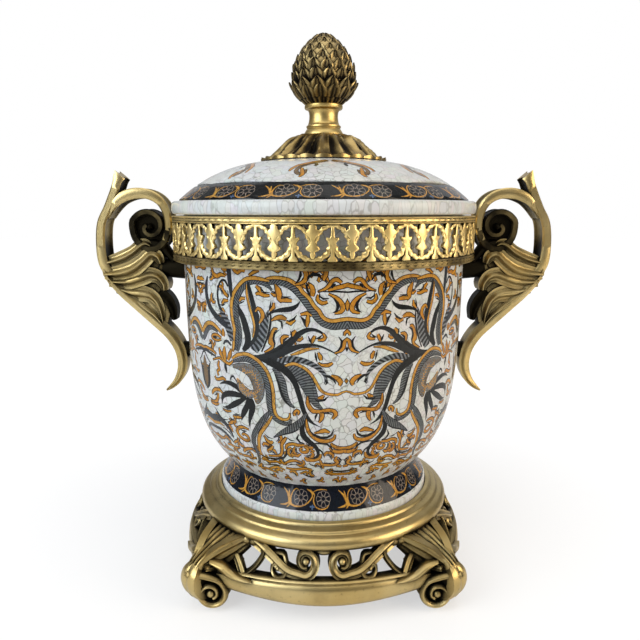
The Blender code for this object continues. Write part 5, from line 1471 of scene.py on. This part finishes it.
rows = []
cap_run = smooth_run(CAP_PROFILE, 4)
for row, (radius, height) in enumerate(cap_run):
    share = row / (len(cap_run) - 1)
    swell = math.sin(math.pi * min(1.0, 0.12 + share * 0.95)) ** 0.8
    ring = []
    for k in range(CAP_COLUMNS):
        turn = 2 * math.pi * k / CAP_COLUMNS
        leaf = math.cos(CAP_LOBES * turn + 0.7 * share)
        under = math.cos(CAP_LOBES * turn + math.pi + 0.7 * share)
        crest = max(leaf, 0.72 * under)
        sway = 0.7 * math.sin(3 * turn + 4 * share)
        flutes = 1.0 - abs(math.sin(2 * CAP_LOBES * turn + 1.6 * share + sway))
        lump = math.sin(5 * turn + 6 * share) * math.sin(11 * turn - 9 * share)
        lift = swell * (3.0 * crest + 2.2 * flutes + 0.8 * lump - 2.4)
        scallop = share ** 8 * (1.3 * abs(math.cos(1.5 * CAP_LOBES * turn)) - 0.2)
        out = radius + 0.75 * lift + share ** 8 * 1.2 * abs(math.cos(1.5 * CAP_LOBES * turn))
        floor = 1000 * lid_height(out * MM) + 1.6
        vert = cap.verts.new(cap_place(out, max(height + 0.65 * lift + scallop, floor), turn))
        # Lower points are darker: patina and painted shade in the hollows between the leaves.
        vert[hollows] = min(max(0.34 - 0.16 * (lift + 1.2), 0.0), 0.4) * swell
        ring.append(vert)
    rows.append(ring)
for draw, lift in ((45.8, 0.7), (44.0, 0.35), (24.0, 0.35)):
    ring = []
    for k in range(CAP_COLUMNS):
        turn = 2 * math.pi * k / CAP_COLUMNS
        out = draw + (1.2 * abs(math.cos(1.5 * CAP_LOBES * turn)) if draw > 45 else 0.0)
        ring.append(cap.verts.new(cap_place(out, 1000 * lid_height(out * MM) + lift, turn)))
    rows.append(ring)
cap.faces.new(rows[0])
edges = [cap.edges.get(pair) or cap.edges.new(pair) for pair in zip(rows[0], rows[0][1:] + rows[0][:1])]
for ring in rows[1:]:
    following = [cap.edges.new(pair) for pair in zip(ring, ring[1:] + ring[:1])]
    bmesh.ops.bridge_loops(cap, edges=edges + following)
    edges = following
cap.faces.new(rows[-1][::-1])
piece("leaf_cap_cast", cap, bronze, "leaf_cap", 60.0)

# %% [markdown]
# The pine cone
#
# A core is covered with rows of one pointed scale. Each row is turned a little from
# the one below it, its scales lean with the cone's outline, and the rows close up
# towards the base.


# %% Pine cone
CONE_BASE_Z = 349.8
CONE_HEIGHT = 50.0
CONE_RADIUS = 24.6
CONE_TOP_Z = 0.3997
SCALE_PITCH = 10.6
LEAN_LIMIT = 0.42


def cone_radius(share):
    """The pine cone's radius at a share of its height, widest two fifths of the way up."""
    if share > 0.4:
        return CONE_RADIUS * (1.0 - ((share - 0.4) / 0.6) ** 1.8) ** 0.62
    return CONE_RADIUS * (1.0 - ((0.4 - share) / 0.4) ** 3.4) ** 0.42


def scale_form():
    """One pointed scale, its root at the origin, growing up along Z and out along -Y."""
    form = new_cast()
    profile = ((0.0, 0.8, 0.9, 0.4), (0.3, 1.02, 2.2, 1.0), (0.58, 0.9, 3.0, 1.8),
               (0.82, 0.52, 3.2, 2.5),
               (1.0, 0.06, 2.9, 2.7))
    rings = []
    for up, width, out, back in profile:
        rings.append([Vector((-0.5 * width, -out + 0.75, up)), Vector((-0.34 * width, -out, up)),
                      Vector((-0.12 * width, -out + 0.45, up)), Vector((0, -out - 0.1, up)),
                      Vector((0.12 * width, -out + 0.45, up)), Vector((0.34 * width, -out, up)),
                      Vector((0.5 * width, -out + 0.75, up)), Vector((0, -back + 0.9, up - 0.04))])
    # Edges and grooves take some patina, and the back of each scale, under the next row, is darkest, as
    # patina and painted shade.
    sweep(form, rings, [0.3, 0.0, 0.32, 0.18, 0.32, 0.0, 0.3, 0.8])
    return form


cone = new_cast()
core = [(0.0, CONE_BASE_Z), (11.5, CONE_BASE_Z)]
core += [(max(cone_radius(k / 24) - 2.6, 0.4), CONE_BASE_Z + CONE_HEIGHT * k / 24)
         for k in range(2, 24)]
core += [(0.0, CONE_BASE_Z + CONE_HEIGHT * 0.985)]
spun(cone, core, 48)
form = scale_form()
height = 0.055
row = 0
while height < 0.97:
    radius = cone_radius(height)
    around = max(5, round(2 * math.pi * radius / SCALE_PITCH))
    slope = (cone_radius(min(height + 0.03, 1.0)) - cone_radius(max(height - 0.03, 0.0))) / (
        0.06 * CONE_HEIGHT)
    tilt = min(math.atan(slope), LEAN_LIMIT)
    size = 9.6 if height < 0.1 else 11.2 if radius > 12 else 8.0
    for k in range(around):
        turn = 2 * math.pi * (k + 0.5 * (row % 2)) / around + 0.13 * row
        copy = form.copy()
        bmesh.ops.scale(copy, vec=(size, 1.0, size * 0.98), verts=copy.verts)
        root = (0, -(0.96 * radius - 3.6), CONE_BASE_Z + CONE_HEIGHT * height - 3.0)
        matrix = (Matrix.Rotation(turn, 4, "Z") @ Matrix.Translation(root)
                  @ Matrix.Rotation(tilt, 4, "X"))
        bmesh.ops.transform(copy, matrix=Matrix.Scale(MM, 4) @ matrix, verts=copy.verts)
        joined(cone, copy)
        copy.free()
    height += (3.6 if height < 0.14 else 5.7) * math.cos(tilt) / CONE_HEIGHT
    row += 1
form.free()
for vert in cone.verts:
    vert.co.z = min(vert.co.z, CONE_TOP_Z)
piece("pine_cone", cone, bronze, "finial_cone", 25.0)

# %% [markdown]
# The handles
#
# Each handle is one casting: a broad ribbon that rises to a cut end, a second ribbon
# that leaves it and rolls up into a volute, and a spray of acanthus blades that flow
# back towards the jar and fall into a curled tail. The right handle is swept in the
# X and Z plane in millimetres and the left one is its mirror image.

# %% The handle's lines
HANDLE_DATUM_X = 1000 * LID_RADIUS - 7.9
HANDLE_REACH = 66.6
HANDLE_HEIGHT = 167.5
HANDLE_Z = 237.4


def handle_place(out, up, thick, width):
    """A control of the handle from shares of its reach and height."""
    return (HANDLE_DATUM_X + out * HANDLE_REACH, 0.0, HANDLE_Z + up * HANDLE_HEIGHT, thick, width)


SPINE = [(0.700, 0.384, 7.6, 15.0), (0.712, 0.360, 7.2, 16.6), (0.742, 0.318, 6.4, 18.2),
         (0.840, 0.226, 6.2, 19.6), (0.925, 0.153, 6.6, 20.4), (0.948, 0.057, 7.0, 20.4),
         (0.930, -0.026, 7.4, 19.0), (0.86, -0.080, 7.0, 16.0)]
OVER = [(0.86, 0.178, 3.0, 17.0), (0.79, 0.228, 6.0, 19.0), (0.701, 0.264, 7.6, 19.4),
        (0.551, 0.286, 8.0, 19.2), (0.386, 0.282, 7.4, 19.0), (0.258, 0.252, 6.6, 18.6),
        (0.190, 0.2, 6.0, 18.2), (0.176, 0.135, 5.6, 17.8), (0.221, 0.078, 5.4, 17.4),
        (0.326, 0.042, 5.4, 17.0), (0.455, 0.045, 5.4, 17.0), (0.560, 0.09, 5.2, 17.0)]
VOLUTE_CENTRE = (0.393, 0.138)
VOLUTE_RADIUS = 12.0
TIP_REACH = 9.0
TIP_SLOPE = 5.6
BLADE_THICKEN = 1.7
BLADES = [
    ([(173, 232.7, 4), (164.7, 234.4, 6), (155, 237.5, 7), (146.4, 242, 6.4), (140.6, 246.6, 6),
      (136.5, 248.0, 4.6), (133.0, 246.6, 2.2)], 18, 0.0),
    ([(171, 225.4, 5), (159.2, 226.2, 7.6), (148, 229.4, 8.2), (139.4, 235.1, 7.4), (133.2, 240.4, 6.8),
      (127.6, 239.0, 5.8), (125.0, 233.8, 3.2)], 20, 0.0),
    ([(167.7, 219.2, 5), (153.6, 219.0, 7.6), (141.5, 222.2, 8), (134.0, 224.4, 7.4),
      (127.6, 222.6, 6.4), (123.8, 217.6, 5.2), (123.2, 212.6, 2.8)], 19, 0.0),
    ([(161.2, 214.7, 5), (150.4, 211.4, 7.4), (141.4, 210.6, 8), (134.4, 208.6, 7), (129.4, 203.6, 5.4),
      (126.6, 196.0, 3.8), (125.6, 188.6, 1.6)], 18, 0.0),
    ([(154.2, 208, 5), (144.8, 202.4, 7), (138, 197.4, 7), (131.7, 192.3, 5.6), (126.6, 186.0, 3.8),
      (123.6, 180.6, 1.6)], 16, 0.0),
    ([(140, 216, 7), (131.7, 210, 9), (124.2, 205.6, 8), (119.0, 198.4, 6), (116.6, 189.6, 2)], 13,
     0.45),
    ([(150, 226, 8), (140, 222, 10), (131, 226, 10), (126, 232, 8), (122.5, 233.0, 4)], 12, 0.6),
    ([(146, 208, 8), (137, 203, 10), (131, 196, 9), (126, 189, 6)], 10, 0.6)]
TAIL = [(170.4, 229.0, 5.0, 17.5), (167.6, 222.4, 6.0, 18), (157.4, 211.3, 7.6, 18.5),
        (145.8, 201.4, 9.0, 18), (131.8, 189, 9.6, 17), (120.8, 178.6, 9.8, 16),
        (113.8, 167.6, 9.4, 15), (111.4, 156.6, 8.8, 14.4), (112.6, 148.0, 7.8, 13.6),
        (116.4, 140.6, 6.2, 12.4), (121.4, 135.4, 4.2, 10.6), (126.2, 131.9, 1.6, 7.6)]


def drawn_in(x):
    """Brings a place of the leaf in towards the jar a little."""
    return x - 0.045 * (x - 95)


def blade_width(width, share):
    """A blade is widest a little before its middle."""
    return width * (0.62 + 0.38 * math.sin(math.pi * (0.25 + 0.6 * share)))


print("handle: one spine,", len(BLADES), "blades and a tail")

# %% [markdown]
# The spine and the volute
#
# Both ribbons have a hollow along their faces, which is darkened as patina and painted shade, and the
# volute is darker all over for the same two causes. The spine's cut end slopes down towards the jar.

# %% Spine and volute
handle = new_cast()
ribbon(handle, [handle_place(*control) for control in SPINE], CHANNEL, per_span=6, face_patina_and_shade=0.12)
tip_x, _, tip_z, tip_thick, _ = handle_place(*SPINE[0])
for vert in handle.verts:
    near_tip = max(0.0, 1 - (tip_z - vert.co.z / MM) / TIP_REACH)
    inward = 0.5 + (tip_x - vert.co.x / MM) / tip_thick
    vert.co.z -= TIP_SLOPE * near_tip * inward * MM
over = [handle_place(*control) for control in OVER]
eye = handle_place(*VOLUTE_CENTRE, 0, 0)
for step in range(1, 18):
    turn = math.radians(-12 + 24 * step)
    share = step / 17
    radius = VOLUTE_RADIUS * (1 - share) ** 0.9 + 1.8
    over.append((eye[0] + radius * math.cos(turn), 0.0, eye[2] + radius * math.sin(turn),
                 5.0 - 1.4 * share, 17.0 + 2.4 * share))
ribbon(handle, over[:9], CHANNEL, per_span=4, face_patina_and_shade=0.2)
# The volute and its eye are painted darker, as patina and painted shade.
ribbon(handle, over[7:], CHANNEL, per_span=3, patina_and_shade=0.36, face_patina_and_shade=0.4)
ball(handle, (eye[0], 0, eye[2]), 3.4, 0.5, (1, 2.9, 1))
print("spine and volute:", len(handle.faces), "faces")

# %% [markdown]
# The spray of blades
#
# Each blade is a ribbon with ridged edges, thick in its middle and thin at its tip.
# The last three lie deeper, behind the others, and are painted darker there, as painted shade.

# %% Blades and tail
# A blade's third value darkens it; for the three behind the others this is painted shade.
for order, (points, width, patina_and_shade) in enumerate(BLADES):
    blade = [(drawn_in(x), 0.0, z - 0.6 * (order % 2), thick * BLADE_THICKEN,
              blade_width(width, i / len(points))) for i, (x, z, thick) in enumerate(points)]
    ribbon(handle, blade, fluted_edge(2, 0.12, 14), per_span=5, patina_and_shade=patina_and_shade)
ribbon(handle, [(drawn_in(x), 0.0, z, thick, width) for x, z, thick, width in TAIL],
       fluted_edge(2, 0.06), per_span=5)
print("with blades and tail:", len(handle.faces), "faces")

# %% [markdown]
# What carries the leaf
#
# Behind the blades lies a plain mass, and arms reach from it to the jar: one under the gallery, one
# beside it, and a lug at the tail. The volute's eye is filled by a thin web. The arms and the web are
# painted dark, as patina and painted shade.

# %% Mass, web and arms
body = new_cast()
mass = [(0.9, -0.026), (0.671, -0.03), (0.521, 0.0), (0.401, 0.034), (0.351, 0.012), (0.27, -0.01),
        (0.262, -0.04),
        (0.285, -0.08), (0.27, -0.13), (0.32, -0.16), (0.25, -0.20), (0.2, -0.26), (0.24, -0.31),
        (0.318, -0.313), (0.446, -0.271), (0.626, -0.205), (0.791, -0.14), (0.896, -0.08)]
plate(body, [(x * MM, z * MM) for x, _, z, _, _ in (handle_place(*spot, 0, 0) for spot in mass)],
      13 * MM, 1.2 * MM)
joined(handle, body, Matrix.Translation((0, 0.0065, 0)), 0.15)
body.free()
web = new_cast()
bmesh.ops.create_cone(web, cap_ends=True, segments=40, radius1=VOLUTE_RADIUS * MM,
                      radius2=VOLUTE_RADIUS * MM, depth=9.0 * MM,
                      matrix=Matrix.Translation(Vector((eye[0], 0, eye[2])) * MM)
                      @ Matrix.Rotation(math.pi / 2, 4, "X"))
# The web is painted dark, as patina and painted shade inside the volute.
joined(handle, web, patina_and_shade=0.7)
web.free()
# The arms are painted dark, as patina and painted shade behind the leaf.
ribbon(handle, [(1000 * jar_radius(0.229) + 0.4, 0, 228.5, 16, 14), (116, 0, 229.0, 15, 14),
                (124, 0, 229.6, 13, 13), (132, 0, 228.6, 10, 12)], ROUND, patina_and_shade=0.8)
ribbon(handle, [(114.4, 0, 235.0, 5, 13), (120, 0, 241.6, 8, 14), (125, 0, 247.2, 9, 14),
                (131, 0, 248.4, 8, 14), (138, 0, 246.0, 5, 12)], ROUND, patina_and_shade=0.7)
lug_wall = 1000 * jar_radius(0.163) + 0.4
ribbon(handle, [(lug_wall, 0, 164.0, 12, 12), (lug_wall + 2.6, 0, 165.0, 12, 12),
                (113.4, 0, 165.6, 12, 12)], ROUND, patina_and_shade=0.6)

for side, node, matrix in (("right", "handle_right", Matrix.Identity(4)),
                           ("left", "handle_left", Matrix.Scale(-1, 4, (1, 0, 0)))):
    casting = new_cast()
    joined(casting, handle, matrix)
    piece("acanthus_handle_" + side, casting, brass, node)
handle.free()

# %% [markdown]
# The stand
#
# The stand is one casting too: a moulded ring, four bowed rails, four scroll feet on
# the corners, and openwork scrolls between the ring and the rails. One quarter, a side
# with its foot, is swept in millimetres and turned round four times.

# %% Places on the stand
RING_OUTER = 98.2
UNDER_Z = 1000 * RING_UNDER_Z
FOOT_SPREAD = 118.0
FOOT_ROUND = 14.5
RAIL_SPAN = 72.0
RAIL_FRONT = 102.75
RAIL_BOW = 17.0
RAIL_TOP = 28.4


def rail_distance(along):
    """How far the rail lies in front of the axis: it bows out in the middle."""
    return RAIL_FRONT - RAIL_BOW * (1.0 - math.cos(math.pi / 2 * along / RAIL_SPAN))


def screen(along, height):
    """A place on the openwork of the front side."""
    ring_y = math.sqrt((RING_OUTER - 4.5) ** 2 - along * along)
    share = (UNDER_Z - height) / (UNDER_Z - RAIL_TOP)
    return (along, -(ring_y + (rail_distance(along) - ring_y) * share), height)


def curl(centre, start_radius, end_radius, start, turns, count):
    """Points of a flat spiral; a negative count of turns runs the other way."""
    points = []
    for step in range(count + 1):
        share = step / count
        radius = start_radius + (end_radius - start_radius) * share ** 0.85
        angle = math.radians(start) + 2 * math.pi * turns * share
        points.append((centre[0] + radius * math.cos(angle), centre[1] + radius * math.sin(angle)))
    return points


def scroll(working, points, thick, width, section, patina_and_shade=0.0, per_span=3):
    """A tapering band over the openwork, from (along, height) points."""
    last = len(points) - 1
    controls = []
    for i, (along, height) in enumerate(points):
        share = i / last
        controls.append((*screen(along, height), thick[0] + (thick[1] - thick[0]) * share,
                         width[0] + (width[1] - width[0]) * share))
    ribbon(working, controls, section, (-0.1, -1.0, 0.1), per_span, patina_and_shade)


print("front rail at", rail_distance(0), "mm, its ends at", rail_distance(RAIL_SPAN), "mm")

# %% [markdown]
# A rail
#
# The rail is tallest in its middle. Its section has a broad bowed face and a small
# step along the top.

# %% Rail
side = new_cast()
rail = []
for step in range(13):
    along = RAIL_SPAN * (step / 6 - 1)
    bow = math.cos(math.pi / 2 * along / RAIL_SPAN)
    tall = 13.0 + 5.6 * bow
    rail.append((along, -rail_distance(along), 21.7 + 1.6 * (1 - bow), 12.4, tall))
RAIL_SECTION = [(-1.0, -0.8), (-0.6, -1.0), (0.3, -0.98), (0.74, -0.8), (0.95, -0.5), (1.0, -0.1),
                (0.94, 0.3),
                (0.8, 0.62), (0.62, 0.7), (0.6, 0.78), (0.66, 0.86), (0.55, 0.96), (0.3, 1.0),
                (-0.6, 1.0),
                (-1.0, 0.8)]
ribbon(side, rail, [(-out, across) for out, across in RAIL_SECTION], (0, 0, 1), 2)
print("rail:", len(side.faces), "faces")

# %% [markdown]
# Openwork
#
# Half of one side is drawn, in shares of the feet's spread and of the height under the
# ring: a large S scroll, a small curl under it, an arch beside the foot and a leaf
# between them, with balls where they meet the ring. The half is then mirrored.

# %% Openwork scrolls
wide = FOOT_SPREAD
half = new_cast()
s_scroll = [(-0.475 * wide, UNDER_Z * 1.02), (-0.43 * wide, UNDER_Z * 1.03),
            (-0.373 * wide, UNDER_Z * 0.98),
            (-0.31 * wide, UNDER_Z * 0.90), (-0.25 * wide, UNDER_Z * 0.80),
            (-0.20 * wide, UNDER_Z * 0.735)]
s_scroll += curl((-0.103 * wide, UNDER_Z * 0.86), 8.6, 3.0, 236, 1.15, 12)
scroll(half, s_scroll, (9.0, 3.4), (8.5, 7.0), fluted_edge(2, 0.16))
ball(half, screen(-0.103 * wide, UNDER_Z * 0.86), 3.0, 0.0, (1, 1.5, 1))
small = [(-0.30 * wide, UNDER_Z * 0.90), (-0.235 * wide, UNDER_Z * 0.93)]
small += curl((-0.263 * wide, UNDER_Z * 0.742), 7.0, 2.2, 40, -1.0, 9)
scroll(half, small, (3.4, 3.0), (7.0, 6.5), ROUND)
ball(half, screen(-0.263 * wide, UNDER_Z * 0.742), 2.2, 0.0, (1, 1.5, 1))
arch = [(-0.665 * wide, UNDER_Z * 0.62), (-0.64 * wide, UNDER_Z * 0.76),
        (-0.585 * wide, UNDER_Z * 0.85),
        (-0.525 * wide, UNDER_Z * 0.80), (-0.485 * wide, UNDER_Z * 0.68),
        (-0.462 * wide, UNDER_Z * 0.56)]
scroll(half, arch, (6.4, 5.0), (8.0, 7.0), fluted_edge(2, 0.12))
leaf = [(-0.36 * wide, UNDER_Z * 1.03), (-0.345 * wide, UNDER_Z * 0.90),
        (-0.375 * wide, UNDER_Z * 0.77),
        (-0.42 * wide, UNDER_Z * 0.66), (-0.465 * wide, UNDER_Z * 0.60)]
scroll(half, leaf, (5.0, 3.0), (7.0, 6.0), fluted_edge(2, 0.12), 0.15)
for place, size, dark in ((-0.449, 6.0, 0.0), (-0.40, 5.0, 0.2), (-0.505, 4.6, 0.2)):
    ball(half, screen(place * wide, UNDER_Z * 0.985), size, dark, (1.0, 0.8, 0.72))
print("half of the openwork:", len(half.faces), "faces")

# %% [markdown]
# Ribs and the rail's ends
#
# Three ribs run from the openwork to the knuckle of each foot. The rail ends in a
# scroll with a round eye, and a petal lies over it.

# %% Ribs, scroll ends and petals
knuckle = Vector((-1, -1, 0)).normalized() * (FOOT_SPREAD + 8.5) + Vector((0, 0, UNDER_Z * 0.64))
start = Vector(screen(-0.449 * wide, UNDER_Z * 1.0))
for lift, reach, dark in ((3.2, 1.0, 0.0), (-3.0, 0.94, 0.0), (-9.5, 0.86, 0.1)):
    aim = start.lerp(knuckle, reach)
    middle = start.lerp(knuckle, 0.45) + Vector((-1.5, -1.5, lift * 0.9))
    rib = [(*(start + Vector((0, 0, lift * 0.4))), 6.0, 7.0), (*middle, 8.0, 6.4),
           (*(start.lerp(knuckle, 0.75) + Vector((-1, -1, lift * 0.5))), 7.0, 5.6), (*aim, 4.0, 4.4)]
    ribbon(half, rib, fluted_edge(2, 0.14), (knuckle - start).cross(Vector((0, 0, 1))), 4, dark)
scroll_eye = (-78.0, 13.4)
points = [(-93.5, 28.0), (-87.5, 27.6)] + curl(scroll_eye, 12.2, 3.6, 92, -1.42, 15)
ribbon(half, [(x, -89.5, z, 5.4 - 0.08 * i, 11.0 - 0.12 * i) for i, (x, z) in enumerate(points)],
       fluted_edge(1, 0.12), (0, 1, 0), 3)
ball(half, (scroll_eye[0], -92.0, scroll_eye[1]), 3.0, 0.0, (1, 0.9, 1))
# A flattened ball fills the scroll from behind and is painted darker, as patina and painted shade in
# its groove.
ball(half, (scroll_eye[0], -86.0, scroll_eye[1]), 10.6, 0.4, (1, 0.5, 1))
petal = [(-80.0, -86.0, 36.0, 3.0, 12.0), (-71.0, -89.5, 33.5, 6.5, 12.5),
         (-64.0, -92.5, 29.5, 6.0, 12.0),
         (-57.0, -95.5, 28.0, 3.4, 10.0), (-50.0, -98.0, 27.6, 1.2, 8.0)]
ribbon(half, petal, fluted_edge(1, 0.14), (0.3, -1, 0), 4)
joined(side, half)
joined(side, half, Matrix.Scale(-1, 4, (1, 0, 0)))
half.free()
ball(side, screen(0, UNDER_Z * 0.99), 4.6, 0.1, (1.5, 0.8, 0.62))
print("one side:", len(side.faces), "faces")

# %% [markdown]
# A foot
#
# The foot is drawn facing right, in the X and Z plane: a fan of flutes comes down from
# the ring, a broad band bends round the front and curls under, and two petals flank it.

# %% Foot
foot_piece = new_cast()
r, a = FOOT_SPREAD, FOOT_ROUND
fan = [(RING_OUTER - 9, UNDER_Z + 1.0, 7.0, 22.0), (r - 0.95 * a, UNDER_Z * 0.93, 7.6, 19.0),
       (r - 0.3 * a, UNDER_Z * 0.83, 8.4, 15.0), (r + 0.3 * a, UNDER_Z * 0.72, 8.8, 12.0),
       (r + 0.60 * a, UNDER_Z * 0.61, 8.0, 11.5), (r + 0.64 * a, UNDER_Z * 0.5, 6.0, 12.0)]
ribbon(foot_piece, [(x, 0.0, z, thick, width) for x, z, thick, width in fan],
       [(-out, across) for out, across in fluted_face(4, 0.55)], (0, 1, 0), 5)
face = [(r + 0.48 * a, UNDER_Z * 0.69, 6.0, 11.0), (r + 0.70 * a, UNDER_Z * 0.60, 8.0, 15.0),
        (r + 0.80 * a, UNDER_Z * 0.48, 8.4, 16.0), (r + 0.70 * a, UNDER_Z * 0.36, 8.8, 16.0),
        (r + 0.36 * a, UNDER_Z * 0.235, 8.8, 15.5), (r - 0.10 * a, UNDER_Z * 0.13, 8.2, 15.0),
        (r - 0.52 * a, UNDER_Z * 0.08, 7.6, 15.0), (r - 0.92 * a, UNDER_Z * 0.16, 7.0, 18.0),
        (r - 1.06 * a, UNDER_Z * 0.29, 6.6, 17.0), (r - 0.72 * a, UNDER_Z * 0.40, 5.6, 16.0),
        (r - 0.2 * a, UNDER_Z * 0.42, 4.2, 15.0)]
ribbon(foot_piece, [(x, 0.0, z, thick, width) for x, z, thick, width in face],
       [(-out, across) for out, across in fluted_face(2, 0.16)], (0, 1, 0), 5)
# A plate fills the foot behind its bands and is painted dark, as painted shade.
core = new_cast()
outline = [(r - 1.5 * a, UNDER_Z * 0.60), (r - 1.02 * a, UNDER_Z * 0.42), (r - 0.6 * a, UNDER_Z * 0.20),
           (r + 0.2 * a, UNDER_Z * 0.14), (r + 0.62 * a, UNDER_Z * 0.30),
           (r + 0.68 * a, UNDER_Z * 0.55),
           (r + 0.1 * a, UNDER_Z * 0.72), (r - 0.9 * a, UNDER_Z * 0.82)]
plate(core, [(x * MM, z * MM) for x, z in outline], 13 * MM, 1.6 * MM)
joined(foot_piece, core, Matrix.Translation((0, 0.0065, 0)), 0.55)
core.free()
for flank in (1, -1):
    petal = [(r - 1.7 * a, flank * 10.0, UNDER_Z * 0.52, 9.0, 5.0),
             (r - 1.15 * a, flank * 9.2, UNDER_Z * 0.58, 9.0, 6.0),
             (r - 0.5 * a, flank * 8.4, UNDER_Z * 0.66, 7.0, 6.0),
             (r + 0.3 * a, flank * 7.0, UNDER_Z * 0.68, 4.0, 4.6)]
    ribbon(foot_piece, petal, fluted_edge(2, 0.14), (0, 1, 0), 4)
print("foot:", len(foot_piece.faces), "faces")

# %% [markdown]
# One casting
#
# The ring is spun, and the side and the foot are set round it four times.

# %% The stand in one casting
stand = new_cast()
spun(stand, [(82.7, 62.0), (84.0, 62.0), (85.6, 61.6), (86.5, 60.7), (86.9, 59.6), (88.6, 58.9),
             (90.4, 58.5),
             (91.2, 58.0), (91.5, 57.2), (92.6, 56.6), (94.8, 55.9), (96.6, 54.6), (97.8, 52.9),
             (98.2, 51.0),
             (97.9, 49.2), (96.9, 47.7), (95.4, 47.2), (72.0, 47.2), (72.0, 57.7), (82.7, 57.7),
             (82.7, 62.0)], 160)
for quarter in range(4):
    turn = Matrix.Rotation(quarter * math.pi / 2, 4, "Z")
    joined(stand, side, turn)
    joined(stand, foot_piece, turn @ Matrix.Rotation(math.radians(-45), 4, "Z"))
side.free()
foot_piece.free()
piece("scroll_stand", stand, brass, "stand")
